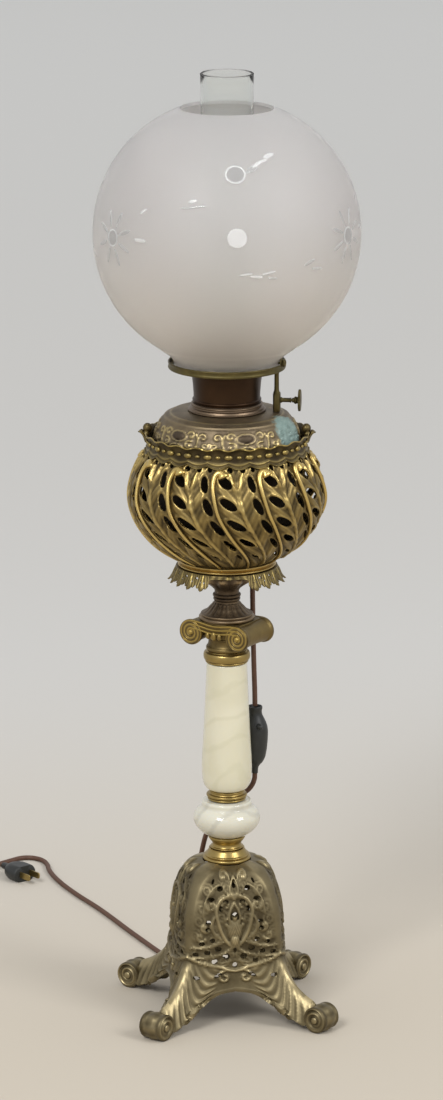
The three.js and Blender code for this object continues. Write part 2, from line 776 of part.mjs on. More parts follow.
// Rim gallery: an inner ledge for the font, a beaded wall and a scalloped edge with larger side lugs.
function bowlGallery() {
  const sections = [];
  const sides = galleryScallops * 2;
  const spread = galleryRadius - galleryRootRadius;
  for (let k = 0; k < sides; k += 1) {
    const angle = (k / sides) * Math.PI * 2;
    const scallop = galleryScallopDepth * (1 + Math.cos(angle * galleryScallops)) / 2;
    const top = galleryHeight - galleryScallopDepth + scallop;
    const edge = galleryRadius - (galleryScallopDepth - scallop) / 2;
    const profile = [
      [galleryRootRadius - galleryLedge, 0], [galleryRootRadius, 0],
      [galleryRootRadius + spread * 0.25, galleryHeight * 0.3],
      [galleryRootRadius + spread * 0.35, galleryHeight * 0.6], [edge, top],
      [edge - galleryWall, top],
      [galleryRootRadius + spread * 0.35 - galleryWall, galleryHeight * 0.65],
      [galleryRootRadius + galleryWall / 4 - galleryWall / 2, galleryLedgeThickness],
      [galleryRootRadius - galleryLedge, galleryLedgeThickness],
    ];
    sections.push(profile.map(([radius, height]) => new THREE.Vector3(
      radius * Math.cos(angle), radius * Math.sin(angle), height,
    )));
  }
  let gallery = solidOf(skinned(sections, true));
  const lugInner = galleryRootRadius + spread * 0.35 - galleryWall / 2;
  for (let k = 0; k < 4; k += 1) {
    const lug = block(
      [lugInner, -lugWidth / 2, galleryHeight * 0.5],
      [lugInner + lugThickness, lugWidth / 2, galleryHeight + lugHeight],
    );
    gallery = gallery.add(solidOf(lug).rotate([0, 0, k * 90]));
  }
  return geometryOf(gallery);
}
addPiece('bowl_gallery', bowlGallery().translate(0, 0, gallerySeat), bowlBrass);

// Oil tank, open at the top where the shoulder closes it, with a hole for the draught tube.
const tankBottom = bowlSeat + tankLift;
const tankTop = shoulderSeat - fitGap;
const tankHeight = tankTop - tankBottom;
const tubeHoleRadius = draughtTubeRadius + fitGap;
addPiece('font_tank', revolved([
  [tubeHoleRadius, tankBottom], [tankRadius * 0.76, tankBottom],
  [tankRadius * 0.94, tankBottom + tankHeight * 0.09], [tankRadius, tankBottom + tankHeight * 0.22],
  [tankRadius, tankTop], [tankRadius - tankWall, tankTop],
  [tankRadius - tankWall, tankBottom + tankHeight * 0.22],
  [tankRadius * 0.94 - tankWall, tankBottom + tankHeight * 0.09 + tankWall],
  [tankRadius * 0.76, tankBottom + tankWall], [tubeHoleRadius, tankBottom + tankWall],
], mediumSides), shoulderBrass);

const tubeBottom = tankBottom - draughtTubeBelowTank;
const socketSeat = galleryCupSeat - burnerHeight * 0.3;
const tubeTop = socketSeat - fitGap;
addPiece('draught_tube', revolved([
  [draughtTubeRadius, tubeBottom], [draughtTubeRadius, tubeTop],
  [draughtTubeRadius - draughtTubeWall, tubeTop], [draughtTubeRadius - draughtTubeWall, tubeBottom],
], smallSides), steel);

// Shoulder of the font, with holes for the burner, the rack and the filler.
const shoulderShares = [
  [1, 0], [1, 0.04], [0.942, 0.41], [0.89, 0.66], [0.79, 0.89], [0.693, 0.955], [0.45, 1],
];
const winderPlace = new THREE.Vector2(
  winderDistance * Math.cos(winderAngle), winderDistance * Math.sin(winderAngle),
);
const fillerPlace = new THREE.Vector2(
  fillerDistance * Math.cos(fillerAngle), fillerDistance * Math.sin(fillerAngle),
);
function fontShoulder() {
  const outside = shoulderShares.map(([r, z]) => [r * shoulderRadius, z * shoulderHeight]);
  let shoulder = solidOf(shell(outside, shoulderWall, wideSides));
  const low = shoulderHeight / 2;
  const high = shoulderHeight + cutOverrun;
  const rackHole = pillar(rackWidth, low, high, tinySides).translate(winderPlace.x, winderPlace.y, 0);
  const fillerHole = pillar(fillerRadius - fillerWall, low, high, tinySides)
    .translate(fillerPlace.x, fillerPlace.y, 0);
  shoulder = shoulder.subtract(solidOf(rackHole)).subtract(solidOf(fillerHole));
  return geometryOf(shoulder);
}
addPiece('font_shoulder', fontShoulder().translate(0, 0, shoulderSeat), shoulderBrass);

// Where the shoulder's nearly flat top lies under a piece that stands on it.
function shoulderTopAt(distance) {
  const outside = shoulderShares.map(([r, z]) => [r * shoulderRadius, z * shoulderHeight]);
  for (let i = outside.length - 1; i > 0; i -= 1) {
    const [r1, z1] = outside[i];
    const [r0, z0] = outside[i - 1];
    if (distance <= r0) return shoulderSeat + z1 + ((z0 - z1) * (distance - r1)) / (r0 - r1);
  }
  return shoulderSeat;
}

const fillerSeat = shoulderTopAt(fillerDistance - fillerRadius) + fitGap;
addPiece('filler_neck', revolved([
  [fillerRadius, 0], [fillerRadius, fillerHeight],
  [fillerRadius - fillerWall, fillerHeight], [fillerRadius - fillerWall, 0],
], smallSides).translate(fillerPlace.x, fillerPlace.y, fillerSeat), brightBrass);
addPiece('filler_cap', revolved([
  [0, fillerCapHeight - fillerCapTop], [fillerRadius + fitGap, fillerCapHeight - fillerCapTop],
  [fillerRadius + fitGap, 0], [fillerCapRadius, 0], [fillerCapRadius, fillerCapHeight - fillerCapTop / 2],
  [fillerCapRadius - fillerCapTop / 2, fillerCapHeight], [0, fillerCapHeight],
], smallSides).translate(
  fillerPlace.x, fillerPlace.y, fillerSeat + fillerHeight + fitGap - fillerCapHeight + fillerCapTop,
), brightBrass);

// Burner.
const burnerCollarShares = [[1, 0], [1, 0.3], [0.89, 0.5], [0.885, 1]];
addPiece('burner_collar', turned(
  burnerCollarShares, burnerCollarRadius, burnerCollarHeight, burnerBore, mediumSides,
).translate(0, 0, burnerCollarSeat), stemBronze);
const burnerShares = [[0.96, 0], [0.945, 0.1], [0.985, 0.6], [1, 0.9]];
function burnerBody() {
  const outside = burnerShares.map(([r, z]) => [r * burnerRadius, z * burnerHeight]);
  outside.push([burnerFlangeRadius, burnerHeight - burnerFlangeHeight], [burnerFlangeRadius, burnerHeight]);
  return revolved([...outside, [burnerBore, burnerHeight], [burnerBore, 0]], wideSides);
}
addPiece('burner_body', burnerBody().translate(0, 0, burnerSeat), burnerBrown);
addPiece('chimney_gallery', revolved([
  [galleryCupBore, 0], [galleryCupRadius, 0], [galleryCupRadius, galleryCupHeight],
  [galleryCupRadius - galleryCupWall, galleryCupHeight], [galleryCupRadius - galleryCupWall, galleryCupFloor],
  [galleryCupBore, galleryCupFloor],
], mediumSides).translate(0, 0, galleryCupSeat), brightBrass);

// Shade holder: a hub on the burner's flange, four spokes, a ledge with a rim and a screw lug.
function shadeRing() {
  const hubInner = galleryCupRadius + fitGap;
  const ledgeInner = shadeRingRadius - shadeRingLedge;
  const ledgeTop = shadeLedgeTop - galleryCupSeat;
  const ledgeBottom = ledgeTop - shadeRingLedgeThickness;
  let ring = solidOf(revolved([
    [hubInner, 0], [shadeHubRadius, 0], [shadeHubRadius, ledgeTop], [hubInner, ledgeTop],
  ], mediumSides));
  ring = ring.add(solidOf(revolved([
    [ledgeInner, ledgeBottom], [shadeRingRadius - shadeRingWall, ledgeBottom - shadeRingWall / 2],
    [shadeRingRadius, ledgeBottom], [shadeRingRadius, ledgeBottom + shadeRingRim],
    [shadeRingRadius - shadeRingWall, ledgeBottom + shadeRingRim],
    [shadeRingRadius - shadeRingWall, ledgeTop], [ledgeInner, ledgeTop],
  ], wideSides)));
  const firstSpoke = THREE.MathUtils.radToDeg(winderAngle) + 45;
  for (let k = 0; k < shadeSpokes; k += 1) {
    const spoke = block(
      [shadeHubRadius - shadeRingWall, -shadeSpokeWidth / 2, ledgeBottom],
      [ledgeInner + shadeRingWall, shadeSpokeWidth / 2, ledgeTop],
    );
    ring = ring.add(solidOf(spoke).rotate([0, 0, firstSpoke + (k * 360) / shadeSpokes]));
  }
  const lug = bar(ringLugRadius, shadeRingRadius - ringLugThickness, shadeRingRadius, smallSides)
    .translate(0, 0, ledgeTop + ringLugRise - ringLugRadius)
    .rotateZ(ringLugAngle);
  const holeRadius = ringScrewRadius + ringScrewClearance;
  const hole = bar(holeRadius, shadeRingRadius - cutOverrun, shadeRingRadius + cutOverrun, tinySides)
    .translate(0, 0, ledgeTop + ringLugRise - ringLugRadius)
    .rotateZ(ringLugAngle);
  return geometryOf(ring.add(solidOf(lug)).subtract(solidOf(hole)));
}
addPiece('shade_ring', shadeRing().translate(0, 0, galleryCupSeat), brightBrass);

function ringScrew() {
  const tip = globeNeckRadius + fitGap + globeWall / 3;
  const seat = shadeRingRadius + fitGap;
  return revolved([
    [0, tip], [ringScrewRadius, tip], [ringScrewRadius, seat], [ringScrewHeadRadius, seat],
    [ringScrewHeadRadius, seat + ringScrewHeadThickness], [0, seat + ringScrewHeadThickness],
  ], tinySides).rotateY(Math.PI / 2)
    .translate(0, 0, shadeLedgeTop + ringLugRise - ringLugRadius)
    .rotateZ(ringLugAngle);
}
addPiece('ring_screw', ringScrew(), brightBrass);

// Ball shade: the straight neck that stands on the ledge, and the ball with its open top.
function globeShade() {
  const centre = globeNeckHeight + Math.sqrt(globeRadius ** 2 - globeNeckRadius ** 2);
  const start = -Math.acos(globeNeckRadius / globeRadius);
  const end = Math.acos(globeTopRadius / globeRadius);
  const outside = [
    [globeNeckRadius, globeNeckHeight], [globeNeckRadius, globeNeckHeight + globeWall / 6],
  ];
  const steps = 8;
  for (let k = 1; k <= steps; k += 1) {
    const angle = start + ((end - start) * k) / steps;
    outside.push([globeRadius * Math.cos(angle), centre + globeRadius * Math.sin(angle)]);
  }
  return shell(outside, globeWall, globeSides);
}
addPiece('globe_shade', globeShade().translate(0, 0, globeSeat), frostedGlass);
addPiece('globe_neck', shell([
  [globeNeckRadius, 0], [globeNeckRadius, globeNeckHeight - fitGap],
], globeWall, wideSides).translate(0, 0, globeSeat), frostedGlass);

// Chimney: a wide foot that narrows to a long straight top.
function chimneyGlass() {
  const outside = [
    [chimneyBaseRadius, 0], [chimneyBaseRadius, chimneyHeight * 0.06],
    [chimneyBaseRadius * 1.07, chimneyHeight * 0.13], [chimneyBaseRadius * 0.98, chimneyHeight * 0.24],
    [chimneyRadius * 1.08, chimneyHeight * 0.38], [chimneyRadius, chimneyHeight * 0.55],
    [chimneyRadius, chimneyHeight],
  ];
  return shell(outside, chimneyWall, mediumSides);
}
addPiece('chimney', chimneyGlass().translate(0, 0, chimneySeat), clearGlass);

// Wick winder. In its own frame the rack stands on Z, and the knob's spindle runs along X beside it.
const pitchRadius = (toothModule * pinionTeeth) / 2;
const toothPitch = toothModule * Math.PI;
const rackTeeth = Math.ceil(wickTravel / toothPitch) + rackSpareTeeth;
const rackPitchLine = rackWidth / 2 - toothModule;
const spindleOffset = rackPitchLine + pitchRadius + toothBacklash;
const winderSeat = shoulderTopAt(winderDistance - housingDepth / 2) + fitGap;
const spindleZ = winderSeat + spindleHeight;
const winder = new THREE.Group();
winder.position.set(winderPlace.x, winderPlace.y, 0);
winder.rotation.z = winderAngle;
lamp.add(winder);

const guideTubeTop = galleryCupSeat + shadeHubDrop - shadeRingWall / 2 - fitGap;
const housingTop = winderSeat + housingHeight;
const housingLow = -guideTubeRadius - housingWall;

function rackHousing() {
  const outer = block(
    [-housingDepth / 2, housingLow, winderSeat],
    [housingDepth / 2, housingLow + housingWidth, housingTop],
  );
  const tube = pillar(guideTubeRadius, housingTop - housingWall, guideTubeTop, tinySides);
  const room = block(
    [-housingDepth / 2 + housingWall, -guideTubeRadius + guideTubeWall, winderSeat - cutOverrun],
    [housingDepth / 2 - housingWall, housingLow + housingWidth - housingWall, housingTop - housingWall],
  );
  const bore = pillar(guideTubeRadius - guideTubeWall, winderSeat, guideTubeTop + cutOverrun, tinySides);
  const bearing = bar(spindleRadius + fitGap, 0, housingDepth, tinySides)
    .translate(0, spindleOffset, spindleZ);
  return geometryOf(solidOf(outer).add(solidOf(tube)).subtract(solidOf(room))
    .subtract(solidOf(bore)).subtract(solidOf(bearing)));
}
addPiece('rack_housing', rackHousing(), brightBrass, winder);

// Pinion teeth as straight-sided wedges, one of them pointing at the rack.
function pinionOutline() {
  const shape = new THREE.Shape();
  const tipRadius = pitchRadius + toothModule * 0.8;
  const rootRadius = pitchRadius - toothModule;
  const step = (Math.PI * 2) / pinionTeeth;
  const corners = [[rootRadius, -0.3], [tipRadius, -0.12], [tipRadius, 0.12], [rootRadius, 0.3]];
  for (let k = 0; k < pinionTeeth; k += 1) {
    corners.forEach(([radius, share], i) => {
      const angle = step * (k + share) - Math.PI / 2;
      const x = radius * Math.cos(angle);
      const y = radius * Math.sin(angle);
      if (k === 0 && i === 0) shape.moveTo(x, y);
      else shape.lineTo(x, y);
    });
  }
  return shape;
}

function winderKnob() {
  const pinion = new THREE.ExtrudeGeometry(pinionOutline(), { depth: pinionWidth, bevelEnabled: false })
    .rotateX(Math.PI / 2).rotateZ(Math.PI / 2)
    .translate(-pinionWidth / 2, 0, 0);
  const start = -pinionWidth / 2;
  const spindle = bar(spindleRadius, start, knobDistance, tinySides);
  const hub = bar(knobHubRadius, knobDistance - knobHubLength, knobDistance, tinySides);
  const disc = bar(knobRadius, knobDistance - knobThickness, knobDistance, smallSides);
  return geometryOf(solidOf(pinion).add(solidOf(spindle)).add(solidOf(hub)).add(solidOf(disc)));
}
addPiece('winder_knob', winderKnob().translate(0, spindleOffset, spindleZ), brightBrass, winder);

// Rack: a square rod with teeth on the pinion's side. A gap between teeth faces the pinion's tooth.
const carrierBottom = spindleZ - carrierDrop;
const rackTop = spindleZ + toothPitch * 2.5;
function rackRod() {
  const half = rackWidth / 2;
  const root = rackPitchLine - toothModule * 1.05;
  const tip = rackPitchLine + toothModule * 0.8;
  const shape = new THREE.Shape();
  shape.moveTo(-half, carrierBottom);
  shape.lineTo(root, carrierBottom);
  for (let k = rackTeeth - 1; k >= 0; k -= 1) {
    const middle = spindleZ + toothPitch * (1.5 - k);
    shape.lineTo(root, middle - toothPitch * 0.31);
    shape.lineTo(tip, middle - toothPitch * 0.12);
    shape.lineTo(tip, middle + toothPitch * 0.12);
    shape.lineTo(root, middle + toothPitch * 0.31);
  }
  shape.lineTo(root, rackTop);
  shape.lineTo(-half, rackTop);
  return new THREE.ExtrudeGeometry(shape, { depth: rackWidth, bevelEnabled: false })
    .rotateX(Math.PI / 2).rotateZ(Math.PI / 2)
    .translate(-rackWidth / 2, 0, 0);
}
addPiece('rack_rod', rackRod(), steel, winder);

// Sleeve that carries the wick round the draught tube, with an arm that ends round the rod.
function wickCarrier() {
  const inner = draughtTubeRadius + carrierClearance;
  const outer = inner + carrierWall;
  const armTop = carrierBottom - fitGap;
  const armBottom = armTop - carrierArmThickness;
  const sleeve = revolved([
    [inner, armBottom], [outer, armBottom], [outer, armBottom + carrierHeight],
    [inner, armBottom + carrierHeight],
  ], smallSides);
  const arm = block(
    [outer - carrierWall / 2, -rackWidth, armBottom], [winderDistance + rackWidth, rackWidth, armTop],
  ).rotateZ(winderAngle);
  return geometryOf(solidOf(sleeve).add(solidOf(arm)));
}
addPiece('wick_carrier', wickCarrier(), steel);

// Socket on the draught tube, with its lamp.
const socketTop = socketSeat + socketHeight;
const leadTop = socketTop - socketCavityDepth - fitGap;
function lampSocket() {
  const plugTop = draughtTubeRadius - draughtTubeWall - fitGap;
  return revolved([
    [leadRadius + fitGap, socketSeat - socketPlug], [plugTop, socketSeat - socketPlug],
    [plugTop, socketSeat], [socketFlangeRadius, socketSeat],
    [socketFlangeRadius, socketSeat + socketFlangeThickness],
    [socketRadius, socketSeat + socketFlangeThickness], [socketRadius, socketTop],
    [bulbBaseRadius + bulbBaseClearance, socketTop],
    [bulbBaseRadius + bulbBaseClearance, socketTop - socketCavityDepth],
    [leadRadius + fitGap, socketTop - socketCavityDepth],
  ], smallSides);
}
addPiece('lamp_socket', lampSocket(), whitePorcelain);
const bulbSeat = socketTop + fitGap;
addPiece('bulb_base', revolved([
  [bulbBaseRadius, socketTop - socketCavityDepth + fitGap], [bulbBaseRadius, bulbSeat - fitGap],
  [bulbBaseRadius - bulbBaseWall, bulbSeat - fitGap],
  [bulbBaseRadius - bulbBaseWall, socketTop - socketCavityDepth + fitGap],
], smallSides), brightBrass);
const bulbShares = [[0.36, 0], [0.82, 0.18], [1, 0.4], [0.9, 0.62], [0.6, 0.84], [0, 1]];
function bulbGlass() {
  const outside = bulbShares.map(([r, z]) => [r * bulbRadius, z * bulbHeight]);
  const inside = bulbShares.slice(1, -1)
    .map(([r, z]) => [r * bulbRadius - bulbWall, z * bulbHeight])
    .reverse();
  return revolved([
    [bulbMouthRadius, 0], ...outside, [0, bulbHeight - bulbWall * 3], ...inside, [bulbMouthRadius, bulbWall],
  ], smallSides);
}
addPiece('bulb_glass', bulbGlass().translate(0, 0, bulbSeat), clearGlass);

// Bush in the pan, and the lead that runs from it up the draught tube to the socket.
const bushBottom = panSeat - fitGap - bushFlangeThickness;
addPiece('cord_bush', revolved([
  [leadRadius + fitGap, bushBottom], [bushFlangeRadius, bushBottom],
  [bushFlangeRadius, bushBottom + bushFlangeThickness], [bushBarrelRadius, bushBottom + bushFlangeThickness],
  [bushBarrelRadius, bushBottom + bushFlangeThickness + bushBarrelHeight],
  [leadRadius + fitGap, bushBottom + bushFlangeThickness + bushBarrelHeight],
], smallSides).translate(bushPlace.x, bushPlace.y, 0), blackPlastic);

function socketLead() {
  const shift = bushPlace.length();
  const sweep = Math.acos(1 - shift / (2 * leadBend));
  const low = bushBottom + bushFlangeThickness + bushBarrelHeight;
  const drop = 2 * leadBend * Math.sin(sweep);
  const toward = bushPlace.clone().normalize();
  const points = [[0, leadTop], [0, low + drop + leadBend]];
  const steps = 5;
  for (let k = 0; k <= steps; k += 1) {
    const angle = (sweep * k) / steps;
    points.push([leadBend * (1 - Math.cos(angle)), low + drop - leadBend * Math.sin(angle)]);
  }
  for (let k = steps - 1; k >= 0; k -= 1) {
    const angle = (sweep * k) / steps;
    points.push([shift - leadBend * (1 - Math.cos(angle)), low + leadBend * Math.sin(angle)]);
  }
  points.push([shift, bushBottom]);
  const route = points.map(([out, height]) => new THREE.Vector3(toward.x * out, toward.y * out, height));
  return cordAlong(route, leadRadius, 20);
}
addPiece('socket_lead', socketLead(), brownCord);

// Free cord from the bush down to the switch, in places chosen by hand.
const upperCordPoints = [
  [28, 20, 444.3], [28.1, 20.1, 430], [28.6, 20.7, 400], [29.4, 21.6, 365], [30.4, 22.8, 335],
  [31.2, 23.6, 314], [31.4, 23.8, 300.8],
].map((point) => new THREE.Vector3(...point));
addPiece('upper_cord', cordAlong(upperCordPoints, cordRadius, 12), brownCord);

// Pear-shaped switch in two halves round the cord, with a push bar through both.
const switchShares = [
  [0.57, 0], [0.57, 0.09], [0.75, 0.19], [0.95, 0.3], [1, 0.37], [0.98, 0.5], [0.92, 0.63], [0.81, 0.75],
  [0.57, 0.84], [0.3, 0.9], [0.24, 1],
];
const switchBody = new THREE.Group();
switchBody.position.set(switchPlace.x, switchPlace.y, switchTop);
switchBody.rotation.z = switchBarAngle;
lamp.add(switchBody);
function switchHalf(side) {
  const outline = switchShares.map(([r, z]) => [r * switchRadius, -z * switchHeight]);
  const body = solidOf(revolved([...outline, [0, -switchHeight], [0, 0]], smallSides));
  const inner = side * fitGap / 2;
  const outer = side * (switchRadius + cutOverrun);
  const keep = block(
    [Math.min(inner, outer), -switchRadius - cutOverrun, -switchHeight - cutOverrun],
    [Math.max(inner, outer), switchRadius + cutOverrun, cutOverrun],
  );
  const barRoom = bar(
    switchBarRadius + switchBarClearance, -switchRadius - cutOverrun, switchRadius + cutOverrun, tinySides,
  ).translate(0, 0, -switchBarDropShare * switchHeight);
  const screwRoom = bar(
    switchScrewRadius + fitGap, -switchRadius - cutOverrun, switchRadius + cutOverrun, tinySides,
  ).translate(0, 0, -switchScrewDropShare * switchHeight);
  return geometryOf(body.intersect(solidOf(keep)).subtract(solidOf(barRoom)).subtract(solidOf(screwRoom)));
}
addPiece('switch_front', switchHalf(1), blackPlastic, switchBody);
addPiece('switch_back', switchHalf(-1), blackPlastic, switchBody);
const barHalf = switchRadius * 0.93;
addPiece('switch_bar', bar(
  switchBarRadius, -barHalf - switchBarProud, barHalf + switchBarProud + switchBarTravel, tinySides,
).translate(0, 0, -switchBarDropShare * switchHeight), blackPlastic, switchBody);
const screwHalf = switchRadius * 0.9;
addPiece('switch_screw', bar(switchScrewRadius, -screwHalf, screwHalf, tinySides)
  .translate(0, 0, -switchScrewDropShare * switchHeight), steel, switchBody);

// Free cord from the switch down behind the base and along the floor, in places chosen by hand.
const lowerCordPoints = [
  [31.4, 23.8, 232.2], [31, 24.1, 226], [27.5, 26.5, 217], [21, 30, 210], [13.5, 35, 203.5], [4.5, 40, 196],
  [-4, 45.5, 184], [-11, 52, 167], [-15.5, 59, 145], [-18.5, 65.5, 118], [-20.5, 72, 90], [-23, 79.5, 62],
  [-26, 90, 38], [-29.5, 104.5, 18], [-34, 124.5, 6.5], [-37.5, 143, 3], [-42, 162, 2.6], [-51.5, 194, 2.6],
  [-65, 240.5, 2.6], [-86.5, 316.5, 2.6], [-105.5, 373, 2.6], [-118, 420.5, 2.6], [-122.5, 453.5, 2.6],
  [-122.5, 475, 2.6], [-125.5, 488, 2.6], [-131.5, 496, 2.6], [-139, 500, 2.6], [-148, 499.5, 2.6],
  [-157, 494, 2.6], [-166.5, 487.3, 2.6], [-177, 480, 2.6], [-188.5, 472.1, 2.6], [-203.7, 461.7, 2.6],
].map((point) => new THREE.Vector3(...point));

// Coil: one tube that spirals in on the floor, climbs a layer where it turns back, and spirals out on top.
function coilPoints() {
  const turning = Math.PI * 2 * (coilFullTurns + 1) - (coilExitHeading - coilEntryHeading);
  const half = turning / 2;
  const soften = Math.PI / 4;
  const spiral = (u) => (coilPitch * (Math.sqrt(u * u + soften * soften) - soften)) / (Math.PI * 2);
  const innerRadius = coilMeanRadius - spiral(half) / 2;
  const lowLayer = cordRadius + fitGap / 3;
  const steps = Math.round((turning / (Math.PI * 2)) * coilStepsPerTurn);
  const points = [];
  for (let k = 0; k <= steps; k += 1) {
    const u = -half + (turning * k) / steps;
    const radius = innerRadius + spiral(u);
    const heading = coilEntryHeading - (u + half);
    const climb = THREE.MathUtils.smoothstep(u, -Math.PI / 2, Math.PI / 2);
    points.push(new THREE.Vector3(
      coilCentre.x - radius * Math.sin(heading),
      coilCentre.y + radius * Math.cos(heading),
      lowLayer + climb * coilPitch,
    ));
  }
  const first = points[0].clone().addScaledVector(
    new THREE.Vector3(Math.cos(coilEntryHeading), Math.sin(coilEntryHeading), 0), -coilLeadIn,
  );
  const last = points[points.length - 1].clone().addScaledVector(
    new THREE.Vector3(Math.cos(coilExitHeading), Math.sin(coilExitHeading), 0), coilLeadIn,
  );
  return [first, ...points, last];
}
const coilRoute = coilPoints();

// Smallest gap between turns that lie more than a third of a turn apart.
function coilSelfGap(points) {
  const apart = Math.round(coilStepsPerTurn / 3);
  let least = Infinity;
  for (let i = 0; i < points.length; i += 1) {
    for (let k = i + apart; k < points.length; k += 1) {
      least = Math.min(least, points[i].distanceTo(points[k]));
    }
  }
  return least - cordRadius * 2;
}
console.log(`coil: least gap to itself ${coilSelfGap(coilRoute).toFixed(2)} mm`);

const coilStart = coilRoute[0];
const coilEnd = coilRoute[coilRoute.length - 1];
const entryAlong = new THREE.Vector3(Math.cos(coilEntryHeading), Math.sin(coilEntryHeading), 0);
const exitAlong = new THREE.Vector3(Math.cos(coilExitHeading), Math.sin(coilExitHeading), 0);
lowerCordPoints.push(
  coilStart.clone().addScaledVector(entryAlong, -coilLeadIn - fitGap),
  coilStart.clone().addScaledVector(entryAlong, -fitGap),
);
addPiece('lower_cord', cordAlong(lowerCordPoints, cordRadius, 48), brownCord);
addPiece('cord_coil', tubeThrough(coilRoute, cordRadius, coilSides), brownCord);

// Plug at the end of a short straight tail that comes off the top of the coil.
const plugBack = coilEnd.clone().addScaledVector(exitAlong, tailLength);
plugBack.z = plugThickness / 2;
const tailStart = coilEnd.clone().addScaledVector(exitAlong, fitGap);
const tailEnd = plugBack.clone().addScaledVector(exitAlong, -fitGap);
const tailRoute = [tailStart, tailStart.clone().addScaledVector(exitAlong, coilLeadIn),
  tailEnd.clone().addScaledVector(exitAlong, -coilLeadIn), tailEnd];
addPiece('plug_cord', cordAlong(tailRoute, cordRadius, 8), brownCord);

const plug = new THREE.Group();
plug.position.copy(plugBack);
plug.rotation.z = coilExitHeading;
lamp.add(plug);
function plugBody() {
  const half = plugThickness / 2;
  const shape = new THREE.Shape();
  shape.moveTo(0, -plugRadius * 0.5);
  shape.lineTo(plugLength * 0.3, -plugRadius * 0.9);
  shape.lineTo(plugLength * 0.55, -plugRadius);
  shape.lineTo(plugLength, -plugRadius);
  shape.lineTo(plugLength, plugRadius);
  shape.lineTo(plugLength * 0.55, plugRadius);
  shape.lineTo(plugLength * 0.3, plugRadius * 0.9);
  shape.lineTo(0, plugRadius * 0.5);
  const slab = new THREE.ExtrudeGeometry(shape, { depth: plugThickness, bevelEnabled: false })
    .translate(0, 0, -half);
  const round = bar(1, -cutOverrun, plugLength + cutOverrun, smallSides)
    .scale(1, plugRadius * 1.02, half * 1.25);
  let body = solidOf(slab).intersect(solidOf(round));
  for (const side of [-1, 1]) {
    const slot = block(
      [plugLength - plugBladeSink - fitGap, side * plugBladeSpacing / 2 - plugBladeThickness / 2 - fitGap,
        -plugBladeWidth / 2 - fitGap],
      [plugLength + cutOverrun, side * plugBladeSpacing / 2 + plugBladeThickness / 2 + fitGap,
        plugBladeWidth / 2 + fitGap],
    );
    body = body.subtract(solidOf(slot));
  }
  return geometryOf(body);
}
addPiece('plug_body', plugBody(), blackPlastic, plug);
function plugBlade(side) {
  return block(
    [plugLength - plugBladeSink, side * plugBladeSpacing / 2 - plugBladeThickness / 2, -plugBladeWidth / 2],
    [plugLength + plugBladeLength, side * plugBladeSpacing / 2 + plugBladeThickness / 2, plugBladeWidth / 2],
  );
}
addPiece('plug_blade_left', plugBlade(1), brightBrass, plug);
addPiece('plug_blade_right', plugBlade(-1), brightBrass, plug);

export default lamp;
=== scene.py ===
# Looks of an old oil lamp that was later wired for a bulb: cast base, onyx column, pierced bowl and ball
# shade. Metres, with +Z up and the front facing -Y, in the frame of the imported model.

import math

import bmesh
import bpy
import numpy as np
from mathutils import Matrix, Vector


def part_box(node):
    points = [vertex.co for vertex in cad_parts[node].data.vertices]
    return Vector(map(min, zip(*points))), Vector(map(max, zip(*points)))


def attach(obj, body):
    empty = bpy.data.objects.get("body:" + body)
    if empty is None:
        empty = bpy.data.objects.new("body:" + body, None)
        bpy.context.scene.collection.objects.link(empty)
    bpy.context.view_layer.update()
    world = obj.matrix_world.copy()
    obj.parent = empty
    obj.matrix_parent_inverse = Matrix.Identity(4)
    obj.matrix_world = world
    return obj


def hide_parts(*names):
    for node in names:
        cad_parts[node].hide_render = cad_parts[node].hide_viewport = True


MM = 0.001
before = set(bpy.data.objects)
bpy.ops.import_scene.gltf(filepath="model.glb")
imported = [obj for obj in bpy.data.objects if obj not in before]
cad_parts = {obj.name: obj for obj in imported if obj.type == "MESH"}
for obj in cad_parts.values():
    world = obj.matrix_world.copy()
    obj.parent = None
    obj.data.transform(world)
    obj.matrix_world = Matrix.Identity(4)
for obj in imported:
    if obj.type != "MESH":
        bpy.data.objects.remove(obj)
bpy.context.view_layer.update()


# Base casting: a hollow square bell on four scrolled legs, cast in bronze and pierced with scrollwork.
# It is one casting, chased after casting, and its highest parts are rubbed bright.

def smooth_line(points, steps):
    """A smooth line through points of any dimension, with so many steps between each two."""
    held = [points[0], *points, points[-1]]
    line = []
    for before, start, end, after in zip(held, held[1:], held[2:], held[3:]):
        for k in range(steps):
            t = k / steps
            line.append(tuple(
                0.5 * (2 * b + (c - a) * t + (2 * a - 5 * b + 4 * c - d) * t * t
                       + (3 * b - a - 3 * c + d) * t ** 3)
                for a, b, c, d in zip(before, start, end, after)
            ))
    line.append(tuple(points[-1]))
    return line


def piece_from(shape, name, material, sharp_degrees=35):
    """Turns a bmesh into a finished object of the given name at the origin."""
    mesh = bpy.data.meshes.new(name)
    shape.to_mesh(mesh)
    shape.free()
    mesh.materials.append(material)
    mesh.shade_smooth()
    mesh.set_sharp_from_angle(angle=math.radians(sharp_degrees))
    piece = bpy.data.objects.new(name, mesh)
    bpy.context.scene.collection.objects.link(piece)
    return piece


def new_material(name):
    """A material of that name, and its node tree."""
    material = bpy.data.materials.new(name)
    material.use_nodes = True
    return material, material.node_tree


def give_inputs(tree, node, inputs):
    """Gives inputs of a node, by name or number, a value or another node's output to read."""
    for key, value in inputs.items():
        if isinstance(value, bpy.types.NodeSocket):
            tree.links.new(value, node.inputs[key])
        else:
            node.inputs[key].default_value = value


def shade(tree, inputs):
    """Gives the shader of a material its values and outputs."""
    give_inputs(tree, tree.nodes["Principled BSDF"], inputs)


def add_node(tree, kind, inputs, output=0, **settings):
    """Adds a shader node with its settings and inputs, and returns one of its outputs."""
    node = tree.nodes.new("ShaderNode" + kind)
    for key, value in settings.items():
        setattr(node, key, value)
    give_inputs(tree, node, inputs)
    return node.outputs[output]


def object_place(tree):
    return add_node(tree, "TexCoord", {}, "Object")


